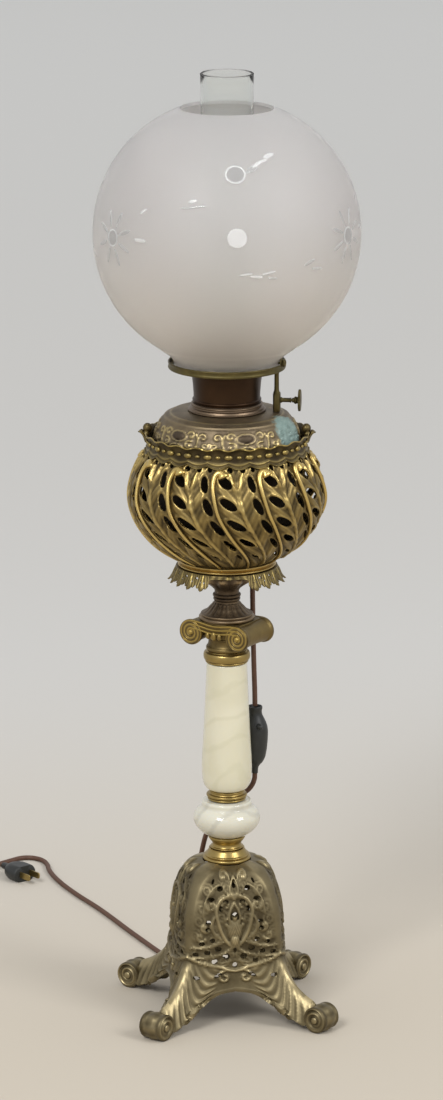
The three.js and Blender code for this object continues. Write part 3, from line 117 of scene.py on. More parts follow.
def place_along(tree, axis):
    """How far the shaded point lies along an axis, in metres."""
    return add_node(tree, "SeparateXYZ", {"Vector": object_place(tree)}, axis)


def noise(tree, place, scale, detail, roughness=0.5, distortion=0.0):
    """Cloudy noise from 0 to 1."""
    inputs = {"Vector": place, "Scale": scale, "Detail": detail, "Roughness": roughness,
              "Distortion": distortion}
    return add_node(tree, "TexNoise", inputs, "Fac")


def ranged(tree, value, start=0.0, end=1.0, low=0.0, high=1.0, smooth=False):
    """Runs from low to high while the value runs from start to end."""
    inputs = {"Value": value, "From Min": start, "From Max": end, "To Min": low, "To Max": high}
    return add_node(tree, "MapRange", inputs, interpolation_type="SMOOTHSTEP" if smooth else "LINEAR")


def calculated(tree, operation, *values):
    return add_node(tree, "Math", dict(enumerate(values)), operation=operation)


def mix_colors(tree, factor, under, over):
    """Mixes two colours, each an output or a plain colour."""
    under, over = [(*color, 1) if isinstance(color, tuple) else color for color in (under, over)]
    # The colour inputs of a Mix node share their names with others of it, so they go by number.
    return add_node(tree, "Mix", {0: factor, 6: under, 7: over}, 2, data_type="RGBA")


def bump(tree, height, strength, distance):
    return add_node(tree, "Bump", {"Height": height, "Strength": strength, "Distance": distance})


def patina_group():
    """Old metal: dark in the hollows, bright where it is rubbed, with cloudy tarnish and fine pitting."""
    group = bpy.data.node_groups.new("patina", "ShaderNodeTree")
    for direction, kind, names in (("INPUT", "Color", ("Bright", "Middle", "Dark")),
                                   ("INPUT", "Float", ("Relief", "Cloud Scale", "Smooth", "Dull")),
                                   ("OUTPUT", "Color", ("Color",)),
                                   ("OUTPUT", "Float", ("Roughness", "Height"))):
        for name in names:
            group.interface.new_socket(name=name, in_out=direction, socket_type="NodeSocket" + kind)
    given = group.nodes.new("NodeGroupInput").outputs
    cloud = noise(group, object_place(group), given["Cloud Scale"], 5.0, 0.62)
    grain = noise(group, object_place(group), 900.0, 3.0, 0.7)
    # The cloud moves the relief up and down, so that the wear has a ragged edge.
    ragged = calculated(group, "MULTIPLY_ADD", calculated(group, "SUBTRACT", cloud, 0.5), 0.75,
                        given["Relief"])
    low = ranged(group, ragged, 0.0, 0.5, smooth=True)
    high = ranged(group, ragged, 0.45, 1.0, smooth=True)
    tarnish = mix_colors(group, low, given["Dark"], given["Middle"])
    gloss = ranged(group, ragged, 0.0, 1.0, given["Dull"], given["Smooth"])
    give_inputs(group, group.nodes.new("NodeGroupOutput"), {
        "Color": mix_colors(group, high, tarnish, given["Bright"]),
        "Roughness": calculated(group, "MULTIPLY_ADD", grain, 0.12, gloss),
        "Height": calculated(group, "MULTIPLY_ADD", cloud, 0.35, grain),
    })
    return group


patina = patina_group()


def old_metal(name, bright, middle, dark, dull, cloud, smooth=0.3, relief=None, metallic=0.9):
    """A metal finish on the patina group. Relief is one value, or else the mesh's own relief attribute."""
    material, tree = new_material(name)
    if relief is None:
        relief = add_node(tree, "Attribute", {}, "Fac", attribute_name="relief")
    wear = tree.nodes.new("ShaderNodeGroup")
    wear.node_tree = patina
    give_inputs(tree, wear, {"Bright": (*bright, 1), "Middle": (*middle, 1), "Dark": (*dark, 1),
                             "Relief": relief, "Cloud Scale": cloud, "Smooth": smooth, "Dull": dull})
    color, roughness, height = wear.outputs
    shade(tree, {"Metallic": metallic, "Base Color": color, "Roughness": roughness,
                 "Normal": bump(tree, height, 0.5, 0.00006)})
    return material


def clamp(value):
    """A value, or an array of them, held between 0 and 1."""
    return np.clip(value, 0, 1)


def wave(turns):
    """A wave between 0 and 1 that is 1 at every whole turn."""
    return 0.5 + 0.5 * np.cos(math.tau * turns)


def bead_on(across, up, path, width, height):
    """Height of a round-backed bead of that width and height, drawn along a path on a flat face."""
    nearest = np.full(across.shape, np.inf)
    for (x1, z1), (x2, z2) in zip(path, path[1:]):
        dx, dz = x2 - x1, z2 - z1
        t = clamp(((across - x1) * dx + (up - z1) * dz) / max(dx * dx + dz * dz, 1e-12))
        nearest = np.minimum(nearest, np.hypot(across - x1 - t * dx, up - z1 - t * dz))
    return height * np.sqrt(clamp(1 - (nearest / (width / 2)) ** 2))


def scroll_path(centre, start_radius, end_radius, start_degrees, turn_degrees):
    """A spiral stroke about a centre."""
    path = []
    for t in np.arange(19) / 18:
        angle = math.radians(start_degrees + turn_degrees * t)
        radius = start_radius + (end_radius - start_radius) * t
        path.append((centre[0] + radius * math.cos(angle), centre[1] + radius * math.sin(angle)))
    return path


def pierce(shape, centre, radii, lean=0.0):
    """Cuts an oval out of a flat grid: faces inside go, and the vertices left inside move to its edge."""
    cos, sin = math.cos(lean), math.sin(lean)
    inside = {}
    for vert in shape.verts:
        dx, dy = vert.co.x - centre[0], vert.co.y - centre[1]
        if max(abs(dx), abs(dy)) <= max(radii):
            a, b = (dx * cos + dy * sin) / radii[0], (dy * cos - dx * sin) / radii[1]
            if a * a + b * b < 1:
                inside[vert] = (a, b)
    touched = {face for vert in inside for face in vert.link_faces}
    bmesh.ops.delete(shape, geom=[face for face in touched if all(v in inside for v in face.verts)],
                     context="FACES")
    for vert, (a, b) in inside.items():
        if vert.is_valid:
            reach = math.hypot(a, b) or 1
            a, b = a / reach * radii[0], b / reach * radii[1]
            vert.co.x = centre[0] + a * cos - b * sin
            vert.co.y = centre[1] + a * sin + b * cos


def drop_loose(shape):
    """Deletes the vertices that piercing has left on no face."""
    bmesh.ops.delete(shape, geom=[v for v in shape.verts if not v.link_faces], context="VERTS")


base_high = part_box("base_casting")[1]
base_height = base_high.z
bell_half = 54 * MM
casting_wall = 3.4 * MM
leg_start = 66 * MM
# Height share of the base, half-width share, and how square the plan is, from the top down.
bell_levels = [
    (1, 0.44, 2), (0.985, 0.58, 2.1), (0.968, 0.68, 2.3), (0.92, 0.785, 2.7), (0.853, 0.855, 3.2),
    (0.72, 0.935, 3.8), (0.56, 0.968, 4.1), (leg_start / base_height, 0.987, 4.4),
]
# The free lower edge, from the middle of an arch (0) to a leg's spine (1): across, out and up.
edge_shares = [
    (0, 0, 57, 38), (0.25, 19, 57.5, 34.5), (0.42, 33, 61, 26), (0.55, 45, 67, 16), (0.67, 56, 74.5, 8),
    (0.78, 64, 81, 5.5), (0.88, 70.5, 81.5, 15), (1, 75.7, 75.7, 25),
]
bell_rows, leg_rows, face_columns = 62, 44, 88
bell_part = bell_rows / (bell_rows + leg_rows)


def table_at(table, key):
    """Reads the columns of a table whose first column is the key."""
    rows = np.array(table)
    return [np.interp(key, rows[:, 0], rows[:, k]) for k in range(1, rows.shape[1])]


def by_travel(line, first_scale, second_scale):
    """A table of a line's points by the share of its length, and that length."""
    line = np.array(line)
    steps = np.hypot(np.diff(line[:, 0]) * first_scale, np.diff(line[:, 1]) * second_scale)
    travel = np.concatenate([[0], np.cumsum(steps)])
    return np.column_stack([travel / travel[-1], line]), travel[-1]


bell_table, _ = by_travel(smooth_line(bell_levels, 8), base_height, bell_half)
edge_table = smooth_line(edge_shares, 8)


def face_place(side, down):
    """The point of the -Y face at side (-1 to 1, leg to leg) and down (0 to 1, top to lower edge)."""
    side, down = np.asarray(side, float), np.asarray(down, float)
    height, width, square = table_at(bell_table, clamp(down / bell_part))
    angle = side * math.pi / 4
    c, s = np.cos(angle), np.abs(np.sin(angle))
    reach = width * bell_half / (c ** square + s ** square) ** (1 / square)
    x, y, z = reach * np.sin(angle), reach * c, height * base_height
    ex, ey, ez = table_at(edge_table, np.abs(side))
    ex, ey, ez = ex * np.sign(side) * MM, ey * MM, ez * MM
    t = clamp((down - bell_part) / (1 - bell_part))
    cx, cy, cz = x + 0.19 * (ex - x), y + 0.19 * (ey - y), z + 0.72 * (ez - z)
    blend = [a * (1 - t) ** 2 + 2 * b * t * (1 - t) + e * t * t
             for a, b, e in ((x, cx, ex), (y, cy, ey), (z, cz, ez))]
    return np.stack([blend[0], -blend[1], blend[2]], -1)


def place_on_face(across, up):
    """The side and down values whose point shows at that place in a straight view of the face."""
    best = (0.0, 0.5)
    reach = 0.5
    sides, downs = np.meshgrid(np.linspace(-1, 1, 41), np.linspace(-1, 1, 41))
    for _ in range(4):
        side = np.clip(best[0] + sides * reach * 2, -1, 1)
        down = clamp(best[1] + downs * reach)
        point = face_place(side, down)
        miss = np.hypot(point[..., 0] - across, point[..., 2] - up)
        k = np.unravel_index(np.argmin(miss), miss.shape)
        best = (float(side[k]), float(down[k]))
        reach /= 12
    return best


# Openings of a face, in millimetres: distance from the middle, height, half width and half height.
face_openings = [
    (0, 141, 2, 4.5), (19.5, 143, 1.5, 3), (13.4, 137, 3, 2.8), (22.5, 127, 4, 2), (8, 124.5, 3, 2),
    (13, 118, 2, 3), (0, 112, 3, 2.5), (25.5, 105, 3, 2), (26, 98, 3, 2.2), (22, 87, 3, 2.3),
    (32, 84, 3.3, 2.3), (16.4, 78.5, 3.5, 2.5), (27, 75, 3.3, 2.3), (38, 73, 3.3, 2.2), (0, 77, 1.8, 3),
    (8.5, 71, 3.6, 3.2), (20, 66, 3, 2.3), (0, 62, 2.5, 2.5), (17, 52, 5, 2.2), (38, 50, 4, 2),
]
# Raised scrollwork of a face, in millimetres: points of each stroke, its width and its height.
cartouche = smooth_line([(0, 131), (12, 127), (17.5, 117), (16, 105), (12, 93), (6.5, 84), (0, 80)], 4)
face_strokes = [
    (cartouche, 4.2, 2.4), (smooth_line([(0, 147), (3.4, 139), (3.8, 132), (0, 127)], 4), 3.2, 2.2),
    (scroll_path((9.5, 146.5), 5.5, 1.2, 200, -330), 2.8, 2.0),
    (smooth_line([(15, 140), (21, 135), (28, 124), (30, 112)], 4), 2.6, 1.4),
    (scroll_path((22.5, 121.5), 6, 1.5, 20, -320), 2.8, 2.0),
    (scroll_path((29, 100), 6.5, 1.5, 130, 330), 3.0, 2.1),
    (smooth_line([(18, 112), (22, 104), (20, 94), (13, 88)], 4), 2.8, 1.8),
    (scroll_path((8, 120), 5, 1.2, -40, 300), 2.4, 1.6),
    (scroll_path((7, 103), 5.5, 1.2, 60, 300), 2.4, 1.7),
    (smooth_line([(0, 123), (5, 113), (4, 103), (0, 96)], 4), 2.6, 2.0),
    (scroll_path((33, 90), 5, 1.2, 200, 300), 2.6, 1.8),
    (smooth_line([(10, 86), (20, 82), (30, 79.5), (42, 79)], 4), 2.6, 1.7),
    (smooth_line([(0, 84), (5, 77), (13, 73), (24, 70.5), (36, 69), (48, 69)], 4), 2.6, 1.7),
    (smooth_line([(4, 66), (14, 64), (22, 70), (28, 80)], 4), 2.2, 1.4),
    (smooth_line([(0, 56), (8, 57.5), (14, 60), (28, 63), (40, 67), (50, 72)], 4), 3.6, 2.4),
    (scroll_path((10, 50), 6.5, 1.5, 90, -330), 3.2, 2.2),
]
face_bosses = [
    (0, 96, 7.5, 11, 3.4), (0, 87, 5.2, 6.5, 4.6), (0, 110, 3, 4, 3.6), (9.5, 146.5, 3, 3, 2.6),
    (22.5, 121.5, 2.2, 2.2, 2.0), (29, 100, 2.4, 2.4, 2.0),
]
# Small curls that fill the ground between the strokes: their middles, in millimetres.
curl_centers = [(6, 137), (25, 135), (12, 110), (30, 118), (18, 98), (38, 92), (11, 66), (29, 67),
                (34, 106), (44, 77), (20, 88), (3, 71)]
curl_radius = 7.5
curl_pitch = 3.6
# Edge of the pierced panel, which lies in a smooth border: height and half width.
panel_edge = [(66, 47), (70, 44), (85, 39), (105, 36), (125, 32), (140, 26), (150, 16), (156, 5), (158, 0)]
border_rise = 1.3


def face_relief(points, side, down):
    """Height of the chasing at each point of a face, and how rubbed it is there."""
    across, up = np.abs(points[:, 0]) / MM, points[:, 2] / MM
    height = np.zeros(across.shape)
    for path, width, rise in face_strokes:
        height = np.maximum(height, bead_on(across, up, path, width, rise))
    for x, z, half_width, half_height, rise in face_bosses:
        dome = 1 - ((across - x) / half_width) ** 2 - ((up - z) / half_height) ** 2
        height = np.maximum(height, rise * np.sqrt(clamp(dome)))
    # The two leaves in the middle are veined towards their tips.
    on_leaf = clamp(1 - (across / 8) ** 2 - ((up - 92) / 14) ** 2)
    height -= 1.3 * np.sqrt(on_leaf) * wave(across * 0.42 + up * 0.16)
    t = clamp((down - bell_part) / (1 - bell_part))
    border = clamp((across - table_at(panel_edge, up)[0]) / 4) * clamp(1 - t / 0.12)
    curls = np.zeros(across.shape)
    for x, z in curl_centers:
        away = np.hypot(across - x, up - z)
        winding = 0.5 + 0.5 * np.cos(math.tau * away / curl_pitch + np.arctan2(up - z, across - x))
        curls = np.maximum(curls, winding * clamp((curl_radius - away) / 2))
    ground = np.maximum(curls * (1 - border), 0)
    height = np.maximum(height, 1.1 * ground)
    # Leaves of the legs: veins that sweep down from the arch to the spine, and a round spine.
    lean = np.abs(side)
    on_leg = clamp((lean - 0.3) / 0.12) * clamp(t / 0.15) * np.clip((1 - t) / 0.05, 0.3, 1)
    sweep = 6.5 * t + 5.5 * lean ** 2
    veins = 0.5 + 0.5 * np.cos(2 * math.pi * sweep)
    fine = 0.5 + 0.5 * np.cos(2 * math.pi * sweep * 3)
    spine = clamp(1 - ((1 - lean) / 0.13) ** 2)
    leaf = on_leg * (1.5 * veins ** 1.5 + 0.35 * fine) * clamp((0.97 - lean) / 0.12) + 2.2 * spine * on_leg
    rim = clamp((t - 0.9) / 0.1) * 1.2 * clamp((0.62 - lean) / 0.1)
    chased = np.maximum(height, leaf) + rim
    wear = 0.16 + 0.6 * chased / 2.6 + 0.26 * border + 0.14 * clamp(t / 0.1) - 0.3 * on_leaf
    wear = wear + 0.3 * clamp((up - 146) / 6)
    return chased + border_rise * border, clamp(wear)


def rubbed_or_highlit(shape, wear):
    """Stores how rubbed each vertex is, on cut glass its painted highlight, 0 to 1: one value, one per
    vertex, or a function.
    """
    layer = shape.verts.layers.float.get("relief") or shape.verts.layers.float.new("relief")
    for k, vert in enumerate(shape.verts):
        vert[layer] = wear(vert) if callable(wear) else wear if np.isscalar(wear) else wear[k]
    return shape


def flat_grid(columns, rows, size=0.5):
    """A flat square grid about the middle, from -size to size both ways."""
    shape = bmesh.new()
    bmesh.ops.create_grid(shape, x_segments=columns, y_segments=rows, size=size)
    return shape


def one_face():
    """The grid of one face, pierced while flat, then bent to its place with its relief."""
    shape = flat_grid(face_columns, bell_rows + leg_rows, 1)
    # The grid's y runs from -1 to 1 and stands for down from 0 to 1.
    for x, z, half_width, half_height in face_openings:
        for sign in ((1,) if x == 0 else (1, -1)):
            side, down = place_on_face(x * sign * MM, z * MM)
            step = 0.01
            here = face_place(side, down)
            per_side = np.linalg.norm(face_place(side + step, down) - here) / step
            per_down = np.linalg.norm(face_place(side, down + step) - here) / step
            radii = (half_width * MM / per_side, half_height * MM / per_down * 2)
            pierce(shape, (side, down * 2 - 1), radii)
    drop_loose(shape)
    flat = np.array([v.co[:] for v in shape.verts])
    side, down = flat[:, 0], (flat[:, 1] + 1) / 2
    points = face_place(side, down)
    step = 0.004
    along = face_place(np.clip(side + step, -1, 1), down) - face_place(np.clip(side - step, -1, 1), down)
    below = face_place(side, clamp(down + step)) - face_place(side, clamp(down - step))
    normal = np.cross(below, along)
    normal /= np.linalg.norm(normal, axis=1)[:, None]
    # Both faces meet on the diagonal, so there the normal lies in the diagonal's plane.
    corner = np.abs(side) > 0.999
    diagonal = np.stack([np.sign(side), -np.ones_like(side), np.zeros_like(side)], -1) / math.sqrt(2)
    flat_part = (normal * diagonal).sum(1)[:, None] * diagonal
    normal[corner] = (flat_part + normal * [0, 0, 1])[corner]
    normal /= np.linalg.norm(normal, axis=1)[:, None]
    height, wear = face_relief(points, side, down)
    for vert, place in zip(shape.verts, points + normal * height[:, None] * MM):
        vert.co = place
    return rubbed_or_highlit(shape, wear)


aged_bronze = old_metal("aged_bronze", (0.44, 0.36, 0.20), (0.20, 0.163, 0.09), (0.062, 0.047, 0.024),
                        smooth=0.3, dull=0.5, cloud=45.0)


def round_the_middle(shape, count, start_degrees=0):
    """Copies a shape about Z, so many times in a full turn."""
    mesh = bpy.data.meshes.new("copy")
    shape.to_mesh(mesh)
    shape.free()
    whole = bmesh.new()
    for k in range(count):
        before = len(whole.verts)
        whole.from_mesh(mesh)
        whole.verts.ensure_lookup_table()
        turn = Matrix.Rotation(math.radians(start_degrees + 360 / count * k), 3, "Z")
        bmesh.ops.rotate(whole, cent=(0, 0, 0), matrix=turn, verts=whole.verts[before:])
    bpy.data.meshes.remove(mesh)
    return whole


def normals_out(shape):
    bmesh.ops.recalc_face_normals(shape, faces=shape.faces)
    return shape


def merged(shape, distance=0.02 * MM):
    bmesh.ops.remove_doubles(shape, verts=shape.verts, dist=distance)
    return shape


def facing_out(shape, way):
    """Turns the faces of an open sheet so that the one farthest along an axis, 0 to 2, faces that way."""
    outermost = max(normals_out(shape).faces, key=lambda face: face.calc_center_median()[way])
    if outermost.normal[way] < 0:
        bmesh.ops.reverse_faces(shape, faces=shape.faces)
    return shape


def give_wall(piece, thickness):
    """Gives a sheet its thickness, inwards from the face that shows, with crisp free edges."""
    mesh = piece.data
    corner_edges = np.zeros(len(mesh.loops), int)
    mesh.loops.foreach_get("edge_index", corner_edges)
    for index in np.flatnonzero(np.bincount(corner_edges, minlength=len(mesh.edges)) == 1):
        mesh.edges[index].use_edge_sharp = True
    wall = piece.modifiers.new("wall", "SOLIDIFY")
    wall.thickness = thickness
    wall.offset = -1
    wall.use_even_offset = False


bell = facing_out(merged(round_the_middle(one_face(), 4), 0.05 * MM), 2)
base = piece_from(bell, "base_bell", aged_bronze, 70)
give_wall(base, casting_wall)
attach(base, "stand")
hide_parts("base_casting")

# Scrolled toes of the base: each is cast with its leg, a roll with a spiral and a round eye at both ends.
# Their undersides are filed flat where they stand on the floor.

toe_radius = 13 * MM
toe_reach = 114 * MM
toe_half_width = 12.4 * MM
# Half of the roll's outline, from the eye's tip to the middle: along its axis, and radius, as shares.
toe_shares = [
    (1.1, 0), (1.09, 0.12), (1.03, 0.24), (0.93, 0.3), (0.9, 0.37), (0.95, 0.45), (1.0, 0.56), (0.95, 0.68),
    (0.9, 0.74), (0.97, 0.82), (0.99, 0.9), (0.93, 0.97), (0.8, 1.0), (0.66, 0.965), (0.5, 0.94),
    (0.32, 0.965), (0.16, 1.0), (0, 1.01),
]


def toe_roll():
    """One toe, turned about its own axis, with its ribs coiled into a spiral and its sole flat."""
    half = [(u * toe_half_width, r * toe_radius) for u, r in smooth_line(toe_shares, 3)]
    outline = half + [(-u, r) for u, r in reversed(half[:-1])]
    shape = bmesh.new()
    verts = [shape.verts.new((u, 0, r)) for u, r in outline]
    edges = [shape.edges.new(pair) for pair in zip(verts, verts[1:])]
    bmesh.ops.spin(shape, geom=verts + edges, cent=(0, 0, 0), axis=(1, 0, 0), angle=math.tau, steps=56,
                   use_merge=True)
    normals_out(merged(shape))
    relief = shape.verts.layers.float.new("relief")
    for vert in shape.verts:
        u, y, z = vert.co
        share = math.hypot(y, z) / toe_radius
        angle = math.atan2(z, y)
        # The groove on each end winds outwards by one rib in a turn.
        spiral = math.cos(math.tau * (share / 0.42 - angle / math.tau))
        on_end = clamp((share - 0.34) / 0.1) * clamp((0.96 - share) / 0.08)
        if abs(u) > toe_half_width * 0.75:
            vert.co.x += math.copysign(1, u) * on_end * spiral * 0.7 * MM
        lobes = (0.5 + 0.5 * math.cos(7 * angle)) * clamp((0.7 - abs(u) / toe_half_width) / 0.2)
        swell = 1 + 0.045 * lobes
        vert.co.y = y * swell
        vert.co.z = max(z * swell, -toe_radius)
        wear = 0.25 + 0.45 * (0.5 + 0.5 * spiral) * on_end + 0.35 * lobes + 0.5 * (share < 0.25)
        vert[relief] = min(1, wear)
    return shape


def moved(shape, place=(0, 0, 0), turn=0.0, axis="Z"):
    """Turns a shape about an axis through the middle, and then moves it to its place."""
    bmesh.ops.rotate(shape, cent=(0, 0, 0), matrix=Matrix.Rotation(turn, 3, axis), verts=shape.verts)
    bmesh.ops.translate(shape, vec=place, verts=shape.verts)
    return shape


one_toe = moved(toe_roll(), (0, toe_reach, toe_radius))
toes = piece_from(round_the_middle(one_toe, 4, 45), "base_toes", aged_bronze, 50)
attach(toes, "stand")
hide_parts("base_casting")

# Turned brass of the shaft: the moulding on the base, the cup under the knop and the two column rings.
# Each is spun on a lathe, bored for the rod, and held only by the rod's clamp.

bore_radius = 4.4 * MM


def turn_on_lathe(outline, sides=96):
    """A round piece about Z from a closed outline of radius and height; it may touch the axis."""
    shape = bmesh.new()
    verts = [shape.verts.new((max(r, 0), 0, z)) for r, z in outline]
    edges = [shape.edges.new(pair) for pair in zip(verts, verts[1:])]
    if outline[0][0] > 0 or outline[-1][0] > 0:
        edges.append(shape.edges.new((verts[-1], verts[0])))
    bmesh.ops.spin(shape, geom=verts + edges, cent=(0, 0, 0), axis=(0, 0, 1), angle=math.tau, steps=sides,
                   use_merge=True)
    return normals_out(merged(shape, 0.01 * MM))


def in_mm(outline, seat=0.0):
    """An outline given in millimetres, from a seat that is in metres."""
    return [(r * MM, seat + z * MM) for r, z in outline]


def node_outline(node, shares, steps, bore=bore_radius):
    """An outline that fills its CAD node's box: shares of its half width and of its height, and a bore."""
    low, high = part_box(node)
    half = (high.x - low.x) / 2
    height = high.z - low.z
    outside = [(r * half, low.z + z * height) for r, z in smooth_line(shares, steps)]
    return outside + [(bore, high.z), (bore, low.z)]


def ring_arc(centre, radius, start_degrees=-80, end_degrees=80, steps=5):
    """Points of an arc in an outline of shares, for a bead or a hollow."""
    angles = np.radians(np.linspace(start_degrees, end_degrees, steps + 1))
    return [(centre[0] + radius[0] * math.cos(a), centre[1] + radius[1] * math.sin(a)) for a in angles]


turned_brass = old_metal("turned_brass", (0.54, 0.40, 0.15), (0.31, 0.225, 0.078), (0.09, 0.062, 0.028),
                         smooth=0.2, dull=0.42, cloud=38.0, relief=0.62, metallic=0.97)

turned_brass_shares = {
    "base_collar": [
        (0.97, 0), *ring_arc((0.94, 0.16), (0.06, 0.14)), (0.93, 0.31), (0.91, 0.34),
        *ring_arc((0.895, 0.42), (0.035, 0.07)), (0.86, 0.52), (0.84, 0.6), (0.8, 0.72), (0.76, 0.84),
        (0.74, 0.93), (0.74, 1)],
    "knop_cup": [
        (0.86, 0), *ring_arc((0.85, 0.07), (0.05, 0.06)), (0.81, 0.16), (0.78, 0.28), (0.79, 0.42),
        (0.86, 0.56), (0.93, 0.68), (0.955, 0.76), *ring_arc((0.95, 0.88), (0.05, 0.1), -75), (0.93, 1)],
    "lower_column_ring": [
        (0.8, 0), (0.86, 0.05), *ring_arc((0.88, 0.17), (0.07, 0.1)), (0.875, 0.29),
        *ring_arc((0.92, 0.45), (0.08, 0.14)), (0.86, 0.62), (0.84, 0.7),
        *ring_arc((0.83, 0.83), (0.04, 0.09)), (0.8, 0.95), (0.79, 1)],
    "upper_column_ring": [
        (0.84, 0), (0.88, 0.03), *ring_arc((0.885, 0.12), (0.04, 0.08)), (0.89, 0.22),
        *ring_arc((0.93, 0.56), (0.07, 0.33), -85, 85, 8), (0.88, 0.92), (0.84, 1)],
}
for node, shares in turned_brass_shares.items():
    ring = piece_from(turn_on_lathe(node_outline(node, shares, 2)), node + "_turned", turned_brass, 40)
    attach(ring, "stand")
    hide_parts(node)

# Onyx column and knop: turned and polished stone, the column creamy and the knop nearly white.
# Both are drilled through and stand between the brass rings. Fine green and grey veins run through them.

def onyx(name, pale, cream, vein, roughness, turn):
    """Polished banded stone: soft cloudy bands across the piece, and a few fine veins."""
    material, tree = new_material(name)
    turned = add_node(tree, "Mapping", {"Vector": object_place(tree), "Rotation": turn})
    cloud = noise(tree, turned, 16.0, 4.0, distortion=0.6)
    bands = add_node(tree, "TexWave", {"Vector": turned, "Scale": 11.0, "Distortion": 7.0, "Detail": 4.0,
                                       "Detail Scale": 1.4}, "Fac", bands_direction="Z")
    body = mix_colors(tree, ranged(tree, cloud, 0.3, 0.7), cream, pale)
    stone = mix_colors(tree, ranged(tree, bands, 0.82, 1.0, high=0.45), body, vein)
    shade(tree, {"Base Color": stone, "Roughness": roughness, "Subsurface Weight": 0.25,
                 "Subsurface Radius": (0.012, 0.01, 0.007), "Subsurface Scale": 0.6, "Coat Weight": 0.35,
                 "Coat Roughness": 0.08})
    return material


column_stone = onyx("column_stone", (0.70, 0.67, 0.53), (0.635, 0.605, 0.455), (0.58, 0.555, 0.40), 0.22,
                    (0.35, 0.2, 0))
knop_stone = onyx("knop_stone", (0.68, 0.66, 0.56), (0.59, 0.57, 0.47), (0.42, 0.41, 0.36), 0.1,
                  (0.9, 0.35, 0.4))
onyx_pieces = {
    "onyx_column": (column_stone, "cream_onyx", [
        (0.76, 0), (0.79, 0.004), (0.845, 0.014), (0.91, 0.036), (0.96, 0.07), (0.985, 0.105), (1, 0.16),
        (0.998, 0.2), (0.985, 0.27), (0.952, 0.38), (0.9, 0.57), (0.85, 0.78), (0.815, 0.93),
        (0.807, 0.985), (0.795, 0.997), (0.77, 1)]),
    "onyx_knop": (knop_stone, "white_onyx", [
        (0.53, 0), (0.58, 0.02), (0.66, 0.055), (0.78, 0.13), (0.9, 0.25), (0.975, 0.38), (1, 0.5),
        (0.985, 0.6), (0.93, 0.7), (0.86, 0.765), (0.8, 0.8), (0.76, 0.83), (0.745, 0.88), (0.745, 0.94),
        (0.72, 0.985), (0.66, 1)]),
}
for node, (stone, slot, shares) in onyx_pieces.items():
    onyx_piece = piece_from(turn_on_lathe(node_outline(node, shares, 4)), node + "_polished", stone, 50)
    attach(onyx_piece, "stand")
    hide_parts(node)

# Ionic capital: cast bronze, a round neck under two bolsters that end in scrolled faces.
# The rod clamps it on the column. Its scrolls and edges are rubbed to gold, and the bolsters stay brown.

capital_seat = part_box("ionic_capital")[0].z
capital_height = 31.1 * MM
capital_neck_radius = 20 * MM
volute_radius = 12.5 * MM
volute_spacing = 53 * MM
volute_height = capital_height - volute_radius
bolster_half = 25 * MM
scroll_pitch_share = 0.3
scroll_depth = 0.9 * MM
capital_turn = math.radians(-41.6)
channel_sag = 2.4 * MM
egg_count = 14


def joined(parts):
    """Puts several finished shapes in one bmesh."""
    whole = bmesh.new()
    for part in parts:
        mesh = bpy.data.meshes.new("part")
        part.to_mesh(mesh)
        part.free()
        whole.from_mesh(mesh)
        bpy.data.meshes.remove(mesh)
    return whole


def swept(path, half_widths, half_heights, ups, sides):
    """A rod of oval section along a path. Each up points away from the surface that it lies on."""
    shape = bmesh.new()
    places = [Vector(place) for place in path]
    last = len(places) - 1
    edges, placed = [], None
    for k, place in enumerate(places):
        along = (places[min(k + 1, last)] - places[max(k - 1, 0)]).normalized()
        across = along.cross(Vector(ups[k])).normalized()
        up = across.cross(along)
        axes = Matrix((across * half_widths[k], up * half_heights[k], along)).transposed().to_4x4()
        here = Matrix.Translation(place) @ axes
        if placed is None:
            bmesh.ops.create_circle(shape, cap_ends=True, radius=1, segments=sides, matrix=here)
            edges = list(shape.edges)
        else:
            made = bmesh.ops.extrude_edge_only(shape, edges=edges)["geom"]
            fresh = {item for item in made if isinstance(item, bmesh.types.BMVert)}
            edges = [item for item in made if isinstance(item, bmesh.types.BMEdge)
                     and fresh.issuperset(item.verts)]
            bmesh.ops.transform(shape, matrix=here @ placed.inverted(), verts=list(fresh))
        placed = here
    bmesh.ops.edgeloop_fill(shape, edges=edges)
    return normals_out(shape)


def pebble(centre, radii):
    """A smooth oval boss with its radii along X, Y and Z."""
    shape = bmesh.new()
    bmesh.ops.create_uvsphere(shape, u_segments=14, v_segments=7, radius=1)
    bmesh.ops.scale(shape, vec=radii, verts=shape.verts)
    return moved(shape, centre)


def block_of(size, middle):
    """A plain block."""
    shape = bmesh.new()
    bmesh.ops.create_cube(shape, size=1)
    bmesh.ops.scale(shape, vec=size, verts=shape.verts)
    return moved(shape, middle)


def rounded(shape, edges, radius, segments=2):
    """Rounds off some edges of a shape."""
    bmesh.ops.bevel(shape, geom=edges, offset=radius, affect="EDGES", segments=segments, profile=0.5,
                    material=-1)
    return shape


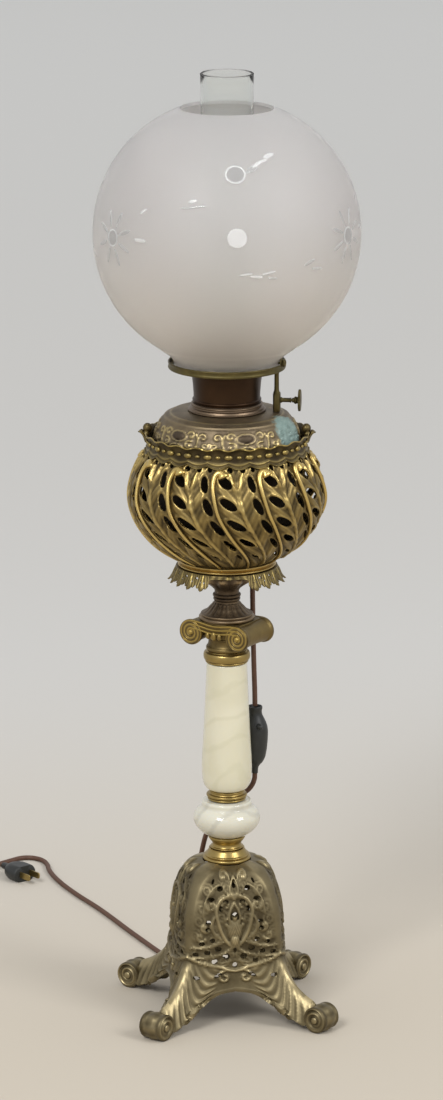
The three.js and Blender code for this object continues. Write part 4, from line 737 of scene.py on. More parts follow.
def bolster(side):
    """One bolster with a scroll at both ends, on the left (-1) or on the right (1)."""
    eye = [(r * volute_radius, u * bolster_half) for u, r in smooth_line(
        [(1.04, 0), (1.035, 0.1), (1.01, 0.17), (0.97, 0.21)], 2)]
    face = [(r * volute_radius, 0.955 * bolster_half) for r in np.linspace(0.24, 0.94, 26)]
    back = [(r * volute_radius, u * bolster_half) for u, r in smooth_line([
        (0.965, 0.97), (0.94, 1.0), (0.87, 1.0), (0.8, 0.97), (0.76, 0.91), (0.6, 0.88), (0.3, 0.855),
        (0, 0.85)], 3)]
    half = eye + face + back
    shape = turn_on_lathe(half + [(r, -u) for r, u in reversed(half[:-1])], 72)
    relief = shape.verts.layers.float.new("relief")
    for vert in shape.verts:
        x, y, along = vert.co
        share = math.hypot(x, y) / volute_radius
        angle = math.atan2(y, x) if side < 0 else math.pi - math.atan2(y, x)
        turns = (share - 0.93) / scroll_pitch_share + angle / math.tau - 0.25
        winding = wave(turns)
        on_face = abs(along) > 0.9 * bolster_half and share > 0.22
        if on_face:
            fade = min(1, (share - 0.22) / 0.06) * min(1, max(0, (0.97 - share) / 0.04))
            vert.co.z += math.copysign(scroll_depth * (winding - 0.6) * fade, along)
            vert[relief] = 0.2 + 0.75 * winding
        else:
            vert[relief] = 0.95 if share < 0.22 or abs(along) > 0.9 * bolster_half else 0.42
    return moved(shape, (side * volute_spacing / 2, 0, volute_height), math.pi / 2, "X")


def capital_parts():
    """Neck, block, bolsters, channel lines and eggs of the capital, unturned and with its foot at 0."""
    neck = [(r * capital_neck_radius, z * capital_height) for r, z in [
        (0.9, 0), *ring_arc((0.95, 0.075), (0.06, 0.065), -80, 85), (0.93, 0.16), (0.9, 0.22), (0.89, 0.3),
        (0.9, 0.37), *ring_arc((0.93, 0.415), (0.04, 0.03)), (0.95, 0.47), (1.0, 0.52), (1.07, 0.6),
        (1.1, 0.7), (1.1, 0.93)]]
    neck += [(bore_radius, capital_height * 0.93), (bore_radius, 0)]
    block_height = 10.6 * MM
    block = block_of((volute_spacing, 2 * bolster_half * 0.93, block_height),
                     (0, 0, capital_height - 0.5 * MM - block_height / 2))
    block = rounded(block, block.edges, 0.5 * MM)
    foot_height = 0.15 * capital_height
    neck_shape = rubbed_or_highlit(turn_on_lathe(neck, 80), lambda vert: 0.4 if vert.co.z < foot_height else 0.3)
    parts = [neck_shape, rubbed_or_highlit(block, 0.3), bolster(-1), bolster(1)]
    # How far a line of the channel has sagged at a share of the way from scroll to scroll.
    sags = smooth_line([(-0.5, 0), (-0.34, 0.1), (-0.15, 0.75), (0, 1), (0.15, 0.75), (0.34, 0.1),
                        (0.5, 0)], 4)
    count = len(sags)
    for end in (-1, 1):
        # The spiral's ridges cross from scroll to scroll as the three lines of the channel.
        for share in (0.93, 0.63, 0.33):
            top = volute_height + share * volute_radius
            path = [(x * volute_spacing, end * bolster_half * 0.945, top - sag * channel_sag)
                    for x, sag in sags]
            parts.append(rubbed_or_highlit(swept(path, [MM] * count, [MM] * count, [(0, end, 0)] * count, 8), 0.9))
        for lean, half_width, half_height in ((0, 3.1, 4.6), (-6.6, 2.4, 3.6), (6.6, 2.4, 3.6)):
            leaf_center = (lean * MM, end * bolster_half * 0.93, volute_height - 0.6 * MM)
            parts.append(rubbed_or_highlit(pebble(leaf_center, (half_width * MM, 2.6 * MM, half_height * MM)), 0.7))
    egg = pebble((capital_neck_radius * 1.06, 0, capital_height * 0.57), (1.9 * MM, 3.2 * MM, 3.6 * MM))
    return parts + [round_the_middle(rubbed_or_highlit(egg, 0.6), egg_count)]


capital_shape = moved(joined(capital_parts()), (0, 0, capital_seat), capital_turn)
capital_bronze = old_metal("capital_bronze", (0.42, 0.30, 0.085), (0.20, 0.145, 0.056),
                           (0.055, 0.039, 0.017), smooth=0.28, dull=0.48, cloud=55.0)
capital = piece_from(capital_shape, "ionic_capital_cast", capital_bronze, 50)
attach(capital, "stand")
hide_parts("ionic_capital")

# Stem under the bowl: a stepped plate chased with leaves, and a waisted stem that opens in round lobes.
# Both are cast in bronze, turned, and left dark brown.

stem_lobe_count = 10
plate_leaf_count = 20
plate_radius = 27.1 * MM
stem_radius = 25 * MM


def chased_turning(node, radius, shares, chase):
    """A turned piece as high as its node, its outside moved in and out by chase(angle, height share)."""
    low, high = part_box(node)
    height = high.z - low.z
    outline = [(r * radius, low.z + z * height) for r, z in shares]
    outline += [(bore_radius, high.z), (bore_radius, low.z)]
    shape = turn_on_lathe(outline, 168)
    relief = shape.verts.layers.float.new("relief")
    for vert in shape.verts:
        reach = math.hypot(vert.co.x, vert.co.y)
        if reach < bore_radius * 1.1:
            continue
        rise, wear = chase(math.atan2(vert.co.y, vert.co.x), (vert.co.z - low.z) / height)
        vert.co.x *= (reach + rise * MM) / reach
        vert.co.y *= (reach + rise * MM) / reach
        vert[relief] = wear
    return shape


def plate_chase(angle, height):
    """Narrow leaves that stand on the plate's slope, with a groove between them."""
    on_slope = clamp((height - 0.34) / 0.04) * clamp((0.92 - height) / 0.05)
    leaf = abs(math.cos(plate_leaf_count / 2 * angle))
    tip = 0.5 + 0.5 * math.cos((height - 0.36) / 0.14 * math.pi)
    rise = on_slope * (0.7 * leaf ** 0.6 - 0.35 + 0.25 * tip * leaf)
    return rise, 0.3 + 0.3 * on_slope * (leaf - 0.5) + (0.25 if height < 0.3 else 0)


def stem_chase(angle, height):
    """Round lobes on the stem's head, each swelling to a knob near its top."""
    lobe = abs(math.cos(stem_lobe_count / 2 * angle))
    flare = clamp((height - 0.34) / 0.2) * clamp((1.0 - height) / 0.12)
    knob = math.exp(-((height - 0.74) / 0.13) ** 2) * max(0, 2 * lobe - 1) ** 0.7
    rise = flare * (1.7 * lobe ** 0.7 - 1.8) + 2.4 * knob * flare
    return rise, 0.2 + 0.55 * knob * flare + 0.1 * lobe * flare


stem_bronze = old_metal("stem_bronze", (0.40, 0.29, 0.16), (0.18, 0.132, 0.082), (0.06, 0.042, 0.028),
                        smooth=0.28, dull=0.46, cloud=60.0)
plate_line = [(0.96, 0), *ring_arc((0.955, 0.09), (0.045, 0.085), -80, 90), (0.93, 0.19),
              *ring_arc((0.9, 0.26), (0.035, 0.06), -70, 85), (0.87, 0.33),
              *[(0.86 - 0.41 * t ** 0.72, 0.34 + 0.58 * t) for t in np.linspace(0, 1, 26)],
              (0.45, 0.95), (0.45, 1)]
stem_line = [(0.47, 0), *ring_arc((0.485, 0.05), (0.04, 0.045)), (0.46, 0.105),
             *ring_arc((0.5, 0.165), (0.045, 0.05)), (0.475, 0.225), (0.47, 0.26),
             *[(0.47 + 0.51 * (1 - math.cos(t * math.pi)) / 2, 0.28 + 0.46 * t)
               for t in np.linspace(0.08, 1, 22)],
             (0.99, 0.78), (0.985, 0.84), (0.96, 0.9), (0.91, 0.95), (0.86, 1)]
for node, radius, line, chase in (("stem_plate", plate_radius, plate_line, plate_chase),
                                  ("stem_baluster", stem_radius, stem_line, stem_chase)):
    stem_piece = piece_from(chased_turning(node, radius, line, chase), node + "_chased", stem_bronze, 60)
    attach(stem_piece, "stand")
    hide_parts(node)

# Skirt and band under the bowl: a stamped brass skirt of small leaves hangs from its flange in three
# groups, and a plain turned band with two bright ridges covers the joint.

skirt_seat = 449.2 * MM
skirt_groups = 3
group_leaves = 5
# Between two groups the skirt is cut short. One such gap is in front.
gap_middle = -96.6
gap_width = 44
leaf_width = (360 / skirt_groups - gap_width) / group_leaves
skirt_units = skirt_groups * (group_leaves + 1)
skirt_root = 48.8 * MM
skirt_spread = 6.4 * MM
skirt_drop = 13.8 * MM
skirt_flange = 42 * MM
skirt_wall = 1.1 * MM
skirt_columns, skirt_rows = 24, 14
# Lobes of one leaf: place across it, half width and length, as shares of its width and of the drop.
leaf_lobes = [(0, 0.24, 1.0), (0.29, 0.2, 0.86), (-0.29, 0.2, 0.86), (0.46, 0.1, 0.62), (-0.46, 0.1, 0.62)]


def skirt_degrees(turn):
    """The angle of a place that is counted in leaves. After each group comes its gap."""
    group, place = divmod(turn, group_leaves + 1)
    start = gap_middle + gap_width / 2 + 360 / skirt_groups * group
    return start + min(place, group_leaves) * leaf_width + max(0, place - group_leaves) * gap_width


def skirt_edge(turn):
    """How far the skirt hangs at a place that is counted in leaves."""
    across = turn % 1 - 0.5
    if turn % (group_leaves + 1) > group_leaves:
        return 0.2 + 0.12 * (2 * across) ** 8
    reach = 0.4
    for centre, half_width, length in leaf_lobes:
        inside = 1 - ((across - centre) / half_width) ** 2
        reach = max(reach, length - 0.42 + 0.42 * math.sqrt(inside)) if inside > 0 else reach
    return reach


def bowl_skirt_shape():
    """All leaves as one sheet: a flat strip, pierced between the leaves, then bent round and down."""
    shape = flat_grid(skirt_units * skirt_columns, skirt_rows)
    bmesh.ops.scale(shape, vec=(skirt_units, 1, 1), verts=shape.verts)
    for k in range(skirt_units):
        if k % (group_leaves + 1) == group_leaves:
            continue
        left = k - skirt_units / 2
        for across in (0.36, 0.64):
            pierce(shape, (left + across, -0.02), (0.04, 0.12))
        if k % (group_leaves + 1) < group_leaves - 1:
            pierce(shape, (left + 1, 0.16), (0.13, 0.12))
    relief = shape.verts.layers.float.new("relief")
    for vert in shape.verts:
        turn = min(vert.co.x + skirt_units / 2, skirt_units - 1e-6)
        across = turn % 1 - 0.5
        down = 0.5 - vert.co.y
        length = skirt_edge(turn) * down
        vein = wave(abs(across) * 5.2 - length * 0.8)
        middle = max(0, 1 - (across / 0.09) ** 2)
        bulge = (0.6 * vein + 0.9 * middle) * min(1, down / 0.25)
        curl = max(0, length - 0.7) ** 2 * 12
        angle = math.radians(skirt_degrees(turn))
        reach = skirt_root + skirt_spread * length ** 1.3 + (bulge * 0.8 + curl) * MM
        vert.co = (reach * math.cos(angle), reach * math.sin(angle),
                   skirt_seat + 1.4 * MM - skirt_drop * length)
        vert[relief] = 0.2 + 0.4 * vein + 0.3 * middle
    drop_loose(shape)
    return facing_out(merged(shape), 0)


leaf_brass = old_metal("leaf_brass", (0.47, 0.355, 0.115), (0.19, 0.145, 0.058), (0.05, 0.037, 0.02),
                       smooth=0.26, dull=0.5, cloud=70.0)
rib_gold = old_metal("rib_gold", (0.66, 0.49, 0.17), (0.42, 0.29, 0.10), (0.12, 0.08, 0.035),
                     smooth=0.2, dull=0.4, cloud=35.0)
skirt = piece_from(bowl_skirt_shape(), "bowl_skirt_leaves", leaf_brass, 60)
give_wall(skirt, skirt_wall)
flange_outline = [(skirt_flange, skirt_seat), (skirt_flange, skirt_seat + 1.5 * MM),
                  (skirt_root - 0.4 * MM, skirt_seat + 1.5 * MM),
                  (skirt_root - 0.2 * MM, skirt_seat + 0.6 * MM), (skirt_root - 0.6 * MM, skirt_seat)]
flange = piece_from(rubbed_or_highlit(turn_on_lathe(flange_outline), 0.4), "bowl_skirt_flange", leaf_brass)
band_line = [(0.955, 0), (0.965, 0.03), *ring_arc((0.965, 0.2), (0.035, 0.16), -75, 75), (0.965, 0.4),
             (0.955, 0.45), (0.965, 0.5), *ring_arc((0.96, 0.7), (0.032, 0.18), -75, 75), (0.955, 0.92),
             (0.95, 1)]
band_bore = 44 * MM
lip_bore = 45.1 * MM
lip_height = 3 * MM
band_outline = node_outline("bowl_band", band_line, 1, band_bore)
band_top = band_outline[-2][1]
# A lip inside the band goes up into the bowl's foot and centres it.
band_outline[-2:-2] = [(lip_bore, band_top), (lip_bore, band_top + lip_height),
                       (band_bore, band_top + lip_height)]
band = piece_from(rubbed_or_highlit(turn_on_lathe(band_outline, 128), 0.6), "bowl_band_turned", rib_gold, 40)
for piece, node in ((skirt, "bowl_skirt"), (flange, "bowl_skirt"), (band, "bowl_band")):
    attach(piece, "stand")
    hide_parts(node)

# Pierced bowl: one brass casting of twelve leaves that lean in an S, open on both sides of each leaf.
# It is chased after casting, stands on the pan, and is screwed down by the rod's nut.

bowl_low, bowl_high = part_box("pierced_bowl")
bowl_seat = bowl_low.z
bowl_height = bowl_high.z - bowl_low.z
bowl_radius = 93.1 * MM
bowl_wall = 2.4 * MM
bowl_repeats = 12
repeat_width = math.tau * bowl_radius / bowl_repeats
bowl_columns, bowl_rows = 38, 100
# Height share, radius share, and how far the pattern has turned there, in repeats.
bowl_table = np.array(smooth_line([
    (0, 0.518, 0.5), (0.09, 0.68, 0.33), (0.19, 0.81, 0.13), (0.32, 0.92, -0.12), (0.45, 0.984, -0.31),
    (0.57, 1.003, -0.45), (0.69, 0.98, -0.53), (0.81, 0.93, -0.58), (0.92, 0.855, -0.59), (1, 0.795, -0.59),
], 6))
lobe_pitch = 0.18
lobe_rise = 0.5
# Openings of one repeat: place round it, height share, half width and half height in millimetres, and lean.
bowl_openings = [
    (0.26, 0.845, 7.4, 4.4, -0.5), (0.26, 0.67, 8.2, 4.6, -0.55), (0.26, 0.485, 8.2, 4.6, -0.55),
    (0.26, 0.315, 7.0, 3.9, -0.5), (0.25, 0.165, 4.2, 2.2, -0.4), (0.82, 0.83, 3.8, 7.4, 0.15),
    (0.84, 0.645, 4.1, 8.0, 0.15), (0.85, 0.46, 4.1, 7.8, 0.2), (0.85, 0.29, 3.4, 6.2, 0.3),
    (0.84, 0.16, 2.2, 3.4, 0.3), (0.37, 0.945, 3.2, 2.8, 0), (0.66, 0.945, 3.2, 2.8, 0),
    (0.91, 0.95, 2.6, 2.4, 0),
]


def bowl_place(round_share, height, out):
    """The point of the bowl's outside at that many repeats round and that height share, moved outwards."""
    radius, lean = table_at(bowl_table, height)
    step = 0.012
    wider = (table_at(bowl_table, height + step)[0] - table_at(bowl_table, height - step)[0]) * bowl_radius
    slope = wider / (2 * step * bowl_height)
    steepness = np.hypot(1, slope)
    reach = radius * bowl_radius + out / steepness
    angle = (round_share + lean) * math.tau / bowl_repeats
    return np.stack([
        reach * np.cos(angle), reach * np.sin(angle),
        bowl_seat + height * bowl_height - out * slope / steepness,
    ], -1)


def bowl_relief(across, height):
    """Height of the leaf in millimetres: a midrib that forks, lobes that sweep up from it, and veins."""
    lean = np.abs(across - 0.5)
    phase = (height - lobe_rise * lean) / lobe_pitch
    body = clamp((0.44 - lean) / 0.08) * clamp(height / 0.06) * clamp((1 - height) / 0.05)
    lobe = wave(phase - 0.52)
    veins = wave(phase * 3)
    midrib = np.sqrt(clamp(1 - (lean / 0.05) ** 2)) * clamp((0.8 - height) / 0.1)
    fork_lean = clamp((height - 0.69) * 0.55)
    fork = np.sqrt(clamp(1 - ((lean - fork_lean) / 0.045) ** 2)) * clamp((height - 0.7) / 0.1)
    lobes = 1.25 * lobe * np.clip(lean / 0.1, 0.35, 1) + 0.55 * veins
    leaf = body * lobes + 1.7 * np.maximum(midrib, fork) * body
    lip = np.zeros(across.shape)
    for place, level, half_width, half_height, turn in bowl_openings:
        dx = (across - place) * repeat_width / MM
        dy = (height - level) * bowl_height / MM
        a = (dx * math.cos(turn) + dy * math.sin(turn)) / half_width
        b = (dy * math.cos(turn) - dx * math.sin(turn)) / half_height
        lip = np.maximum(lip, np.exp(-((np.hypot(a, b) - 1.22) / 0.17) ** 2) * np.where(b > -0.4, 1.0, 0.5))
    return leaf + 1.1 * lip * clamp((0.49 - lean) / 0.05)


def pierced_bowl_shape():
    """Twelve repeats of one flat pierced grid, each bent to its place with its relief."""
    one = moved(flat_grid(bowl_columns, bowl_rows), (0.5, 0.5, 0))
    bmesh.ops.scale(one, vec=(repeat_width, bowl_height, 1), verts=one.verts)
    for place, level, half_width, half_height, turn in bowl_openings:
        pierce(one, (place * repeat_width, level * bowl_height), (half_width * MM, half_height * MM), turn)
    drop_loose(one)
    flat = np.array([v.co[:] for v in one.verts])
    across, height = flat[:, 0] / repeat_width, flat[:, 1] / bowl_height
    rise = bowl_relief(across, height)
    rubbed_or_highlit(one, np.minimum(0.12 + rise / 3.0, 1))
    shape = round_the_middle(one, bowl_repeats)
    repeats = np.arange(bowl_repeats)[:, None]
    places = bowl_place((across + repeats).ravel(), np.tile(height, bowl_repeats),
                        np.tile(rise, bowl_repeats) * MM)
    for vert, place in zip(shape.verts, places):
        vert.co = place
    return merged(shape, 0.05 * MM)


leaf_bronze = old_metal("leaf_bronze", (0.50, 0.37, 0.135), (0.195, 0.14, 0.052), (0.038, 0.028, 0.014),
                        smooth=0.26, dull=0.5, cloud=48.0)
bowl = piece_from(pierced_bowl_shape(), "pierced_bowl_cast", leaf_bronze, 70)
give_wall(bowl, bowl_wall)

# Line of one rib: place round the repeat and height share, up to a club head that curls to the right.
rib_line = smooth_line([
    (0, 0.01), (0, 0.12), (0, 0.28), (0, 0.45), (0, 0.6), (0, 0.73), (0, 0.82), (0.02, 0.875), (0.06, 0.91),
    (0.115, 0.922), (0.17, 0.918), (0.215, 0.9), (0.24, 0.882),
], 6)
# Share of the rib's length, half width and half height in millimetres.
rib_sizes = np.array([
    (0, 0.9, 0.7), (0.08, 1.3, 1.5), (0.3, 1.7, 2.0), (0.5, 2.1, 2.3), (0.62, 2.7, 2.6), (0.76, 3.5, 3.0),
    (0.86, 4.8, 3.4), (0.92, 5.8, 3.8), (0.96, 5.6, 3.6), (0.985, 4.2, 2.8), (1, 2.0, 1.4),
])


def bowl_rib(k):
    """One raised rib, as it runs over the bowl."""
    along = np.linspace(0, 1, len(rib_line))
    across = np.array([u for u, v in rib_line]) + k
    height = np.array([v for u, v in rib_line])
    path = bowl_place(across, height, 1.2 * MM)
    ups = bowl_place(across, height, 5 * MM) - path
    widths, heights = [values * MM for values in table_at(rib_sizes, along)]
    return rubbed_or_highlit(swept(path, widths, heights, ups, 12), 0.8)


ribs = piece_from(joined([bowl_rib(k) for k in range(bowl_repeats)]), "pierced_bowl_ribs", rib_gold, 60)
for piece in (bowl, ribs):
    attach(piece, "stand")
    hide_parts("pierced_bowl")

# Gallery: the cast brass rim of the bowl. A beaded wall with a wavy lip and a scalloped lower edge stands
# on an inner ledge that holds the font, and a leaf ear stands up from it on each side.

gallery_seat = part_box("bowl_gallery")[0].z
gallery_scallops = 24
gallery_ledge = (69.7 * MM, 75.2 * MM)
# The wall from its lower edge to its lip: radius and height over the seat, in millimetres.
gallery_line = np.array(smooth_line([
    (78.6, -5.5), (77.4, -3), (76.5, 0), (76.0, 3), (76.0, 6.5), (76.4, 9.5), (77.6, 12.2), (78.8, 13.8),
    (79.4, 14.9),
], 5))
ear_angles = [-9.5, 170.5]
rim_wall = 1.2 * MM
ear_wall = 1.4 * MM


def gallery_wall():
    """The wall as a strip that is bent round, its lower edge in festoons and its lip in waves."""
    rows = len(gallery_line) - 1
    shape = flat_grid(gallery_scallops * 16, rows)
    relief = shape.verts.layers.float.new("relief")
    for vert in shape.verts:
        turn = (vert.co.x + 0.5) * gallery_scallops
        level = vert.co.y + 0.5
        radius, height = gallery_line[round(level * rows)]
        bow = abs(math.cos(math.pi * turn))
        height += 4.0 * (1 - bow) * (1 - level) ** 2 - 2.4 * wave(turn + 0.5) * level ** 3
        festoon = math.exp(-((level - 0.03) / 0.045) ** 2) + math.exp(-((level - 0.2) / 0.045) ** 2)
        lip = max(0, (level - 0.9) / 0.1)
        radius += 0.9 * festoon
        angle = math.tau * turn / gallery_scallops
        vert.co = (radius * MM * math.cos(angle), radius * MM * math.sin(angle), gallery_seat + height * MM)
        vert[relief] = 0.14 + 0.5 * festoon + 0.7 * lip
    return merged(shape)


def leaf_ear(degrees):
    """One ear: a knob on the lip and a small lobed leaf that curls out from under it."""
    shape = flat_grid(14, 12)
    relief = shape.verts.layers.float.new("relief")
    for vert in shape.verts:
        across, up = vert.co.x * 2, vert.co.y + 0.5
        half = (7.5 - 3.0 * up + 1.3 * math.cos(up * 3 * math.pi)) * math.sqrt(max(0.02, 1 - up ** 4))
        reach = 77.2 + 7.5 * up ** 1.3 + 0.6 * math.cos(across * 3 * math.pi) - 1.6 * across ** 2
        rise = 5 + 9.5 * math.sin(up * 1.75)
        vert.co = (reach * MM, across * half * MM, gallery_seat + rise * MM)
        vert[relief] = 0.35 + 0.4 * abs(math.cos(across * 3 * math.pi)) * up
    return moved(facing_out(shape, 0), turn=math.radians(degrees))


leaf_rim = piece_from(gallery_wall(), "bowl_gallery_wall", leaf_brass, 60)
give_wall(leaf_rim, rim_wall)
ears = piece_from(joined([leaf_ear(degrees) for degrees in ear_angles]), "bowl_gallery_ears", leaf_brass,
                  60)
give_wall(ears, ear_wall)


def gallery_trim():
    """Ledge, large and small beads, and the knobs of the ears."""
    low, high = gallery_seat, gallery_seat + 2 * MM
    ledge = [(gallery_ledge[0], low), (gallery_ledge[1], low), (gallery_ledge[1], high),
             (gallery_ledge[0], high)]
    parts = [rubbed_or_highlit(turn_on_lathe(ledge), 0.3)]
    for size, start in ((0.62, 0), (1, 180 / gallery_scallops)):
        bead = pebble((76.8 * MM, 0, gallery_seat + 6.2 * MM),
                      (2.2 * size * MM, 4.2 * size * MM, 2.6 * size * MM))
        parts.append(round_the_middle(rubbed_or_highlit(bead, 0.7), gallery_scallops, start))
    for degrees in ear_angles:
        # Place across and height of a knob, its distance from the middle, its radii, and how rubbed it is.
        for across, up, reach, radii, wear in ((-3.4, 12.5, 77.0, (2.8, 3.0, 3.4), 0.45),
                                               (3.4, 12.5, 77.0, (2.8, 3.0, 3.4), 0.45),
                                               (0, 17.5, 76.0, (4.6, 4.8, 5.0), 0.3)):
            knob = pebble((reach * MM, across * MM, gallery_seat + up * MM), [r * MM for r in radii])
            parts.append(moved(rubbed_or_highlit(knob, wear), turn=math.radians(degrees)))
    return parts


trim = piece_from(joined(gallery_trim()), "bowl_gallery_beads", leaf_brass, 60)
for piece in (leaf_rim, ears, trim):
    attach(piece, "stand")
    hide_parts("bowl_gallery")

# Font: an oil tank that hangs in the bowl under an embossed brass shoulder, with a filler at the back.
# The shoulder is stamped with scrolls round smooth ovals, and verdigris grows on its right front.

shoulder_seat = 569.8 * MM
shoulder_height = 33.5 * MM
shoulder_radius = 72.2 * MM
shoulder_wall = 1.2 * MM
shoulder_repeats = 6
shoulder_first_oval = -82.6
shoulder_columns, shoulder_rows = 336, 64
shoulder_line = np.array(smooth_line([
    (0.985, 0), (0.982, 0.05), (0.97, 0.2), (0.942, 0.41), (0.89, 0.66), (0.845, 0.8), (0.79, 0.89),
    (0.745, 0.925), (0.693, 0.955), (0.6, 0.975), (0.45, 1),
], 8))
shoulder_table, shoulder_length = by_travel(shoulder_line, shoulder_radius, shoulder_height)
# Strokes to the right of an oval, in millimetres: round the shoulder from the oval's middle, and up.
shoulder_strokes = [
    ([(x * 9.4, 19.6 + y * 5.2) for x, y in ring_arc((0, 0), (1, 1), -90, 90, 12)], 1.9, 0.9),
    (scroll_path((15.0, 21.5), 4.4, 1.2, 160, -320), 2.4, 1.2),
    (scroll_path((13.5, 12.0), 4.6, 1.2, 60, 330), 2.5, 1.3),
    (smooth_line([(2, 11.5), (6, 10), (9, 6.5), (16, 5.5)], 3), 2.4, 1.2),
    (smooth_line([(19.5, 7), (22, 12), (22.5, 18), (20, 24)], 4), 2.4, 1.2),
    (scroll_path((27.5, 20.5), 4.4, 1.1, 200, -330), 2.5, 1.3),
    (smooth_line([(24, 6), (28, 6.5), (31, 9), (34, 15)], 3), 2.2, 1.1),
    (scroll_path((29.5, 12.0), 3.0, 0.9, 0, 300), 2.0, 1.1),
    (smooth_line([(0, 2.6), (12, 2.3), (24, 2.3), (36, 2.6)], 2), 1.4, 0.9),
]
shoulder_bosses = [
    (0, 19.6, 7.2, 3.8, 1.3), (34.6, 10, 3.8, 3.2, 1.6), (15.0, 21.5, 1.7, 1.6, 1.4),
    (13.5, 12.0, 1.7, 1.6, 1.4),
]


def shoulder_relief(angle_degrees, up):
    """Height of the stamping and how rubbed it is, at an angle and a distance up in millimetres."""
    repeat = 360 / shoulder_repeats
    turn = (angle_degrees - shoulder_first_oval + repeat / 2) % repeat - repeat / 2
    across = np.abs(turn) / repeat * math.tau * 66 / shoulder_repeats
    rise = np.zeros(across.shape)
    for path, width, height in shoulder_strokes:
        rise = np.maximum(rise, bead_on(across, up, path, width, height))
    wear = 0.3 + 0.5 * np.clip(rise, 0, 1.2) - 0.3 * ((across / 7.6) ** 2 + ((up - 19.6) / 4.2) ** 2 < 1)
    for x, y, half_width, half_height, height in shoulder_bosses:
        dome = np.sqrt(clamp(1 - ((across - x) / half_width) ** 2 - ((up - y) / half_height) ** 2))
        rise = np.maximum(rise, height * dome)
    rise += 0.25 * np.exp(-((up - 27.5) / 1.1) ** 2) + 0.8 * np.exp(-((up - 31) / 0.9) ** 2)
    rise += 0.7 * np.exp(-((up - 37.5) / 0.8) ** 2)
    wear = wear + 0.25 * np.exp(-((up - 31) / 1.2) ** 2) + 0.4 * np.exp(-((up - 37.5) / 1.1) ** 2)
    return rise, clamp(wear)


def shoulder_shape():
    """The shoulder's sheet, bent round from a flat grid and stamped with its relief."""
    shape = flat_grid(shoulder_columns, shoulder_rows)
    flat = np.array([v.co[:] for v in shape.verts])
    degrees, level = (flat[:, 0] + 0.5) * 360, flat[:, 1] + 0.5
    radius, height = table_at(shoulder_table, level)
    ahead, above = table_at(shoulder_table, level + 0.01)
    behind, below = table_at(shoulder_table, level - 0.01)
    out_r, out_z = (above - below) * shoulder_height, (behind - ahead) * shoulder_radius
    length = np.hypot(out_r, out_z)
    rise, wear = shoulder_relief(degrees, level * shoulder_length / MM)
    reach = radius * shoulder_radius + rise * MM * out_r / length
    z = shoulder_seat + height * shoulder_height + rise * MM * out_z / length
    turns = np.radians(degrees)
    for vert, place in zip(shape.verts, np.stack([reach * np.cos(turns), reach * np.sin(turns), z], -1)):
        vert.co = place
    return merged(rubbed_or_highlit(shape, wear))


verdigris_middle = (54.5 * MM, -37.5 * MM, 587.5 * MM)
verdigris_edge = (31.5 * MM, 27.5 * MM)


def verdigris_brass():
    """Dull brass of the shoulder, with a patch of blue-green verdigris that rises from its surface."""
    material = old_metal("shoulder_brass", (0.47, 0.37, 0.17), (0.225, 0.175, 0.105), (0.085, 0.063, 0.042),
                         dull=0.48, cloud=40.0, metallic=0.85)
    tree = material.node_tree
    ragged = noise(tree, object_place(tree), 130.0, 6.0, 0.7)
    away = add_node(tree, "VectorMath", {0: object_place(tree), 1: verdigris_middle}, "Value",
                    operation="DISTANCE")
    patch = ranged(tree, calculated(tree, "MULTIPLY_ADD", ragged, 0.02, away), *verdigris_edge)
    crust = mix_colors(tree, ragged, (0.06, 0.115, 0.10), (0.33, 0.44, 0.41))
    metal = tree.nodes["Principled BSDF"].inputs["Base Color"].links[0].from_socket
    shade(tree, {"Base Color": mix_colors(tree, patch, metal, crust),
                 "Metallic": ranged(tree, patch, low=0.85, high=0.0)})
    return material


shoulder_brass = verdigris_brass()
shoulder = piece_from(shoulder_shape(), "font_shoulder_stamped", shoulder_brass, 60)
give_wall(shoulder, shoulder_wall)
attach(shoulder, "stand")
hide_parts("font_shoulder")

# Filler at the back of the shoulder: a short soldered neck, and a cap with a milled edge that lifts off.
filler_place = (7.03 * MM, 46.47 * MM, 602.6 * MM)
filler_neck_line = [(5.3, 0), (5.3, 5), (6.2, 5), (6.5, 4.7), (6.5, 0.8), (7.4, 0.3), (7.4, 0)]
filler_cap_line = [(0, 4), (6.8, 4), (6.8, 0), (8.2, 0), (8.5, 0.3), (8.5, 3.4), (8.1, 4.0), (7.2, 4.3),
                   (4.5, 4.9), (2.2, 5.4), (0, 5.5)]
milled_ridges = 40


def milled(shape, edge_radius, depth):
    """Cuts the fine upright ridges of a milled edge into a round piece about Z."""
    for vert in shape.verts:
        reach = math.hypot(vert.co.x, vert.co.y)
        if reach >= edge_radius * 0.97:
            groove = depth * (0.5 + 0.5 * math.cos(milled_ridges * math.atan2(vert.co.y, vert.co.x)))
            vert.co.xy *= 1 - groove / reach
    return shape


olive_brass = old_metal("olive_brass", (0.25, 0.20, 0.07), (0.105, 0.085, 0.033), (0.038, 0.032, 0.016),
                        smooth=0.28, dull=0.5, cloud=80.0, relief=0.5)
filler_neck_shape = moved(turn_on_lathe(in_mm(filler_neck_line), 64), filler_place)
filler_cap_shape = moved(milled(turn_on_lathe(in_mm(filler_cap_line), 160), 8.5 * MM, 0.35 * MM),
                         (*filler_place[:2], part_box("filler_cap")[0].z))
for shape, name, node, body in ((filler_neck_shape, "filler_neck_turned", "filler_neck", "stand"),
                                (filler_cap_shape, "filler_cap_milled", "filler_cap", "oil_cap")):
    filler_piece = piece_from(shape, name, olive_brass, 40)
    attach(filler_piece, body)
    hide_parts(node)

# Burner: a screwed collar and the burner's neck, spun from brass and gone a deep brown.
# The chimney stands in the cup at its top, and the shade holder rests on its flange.

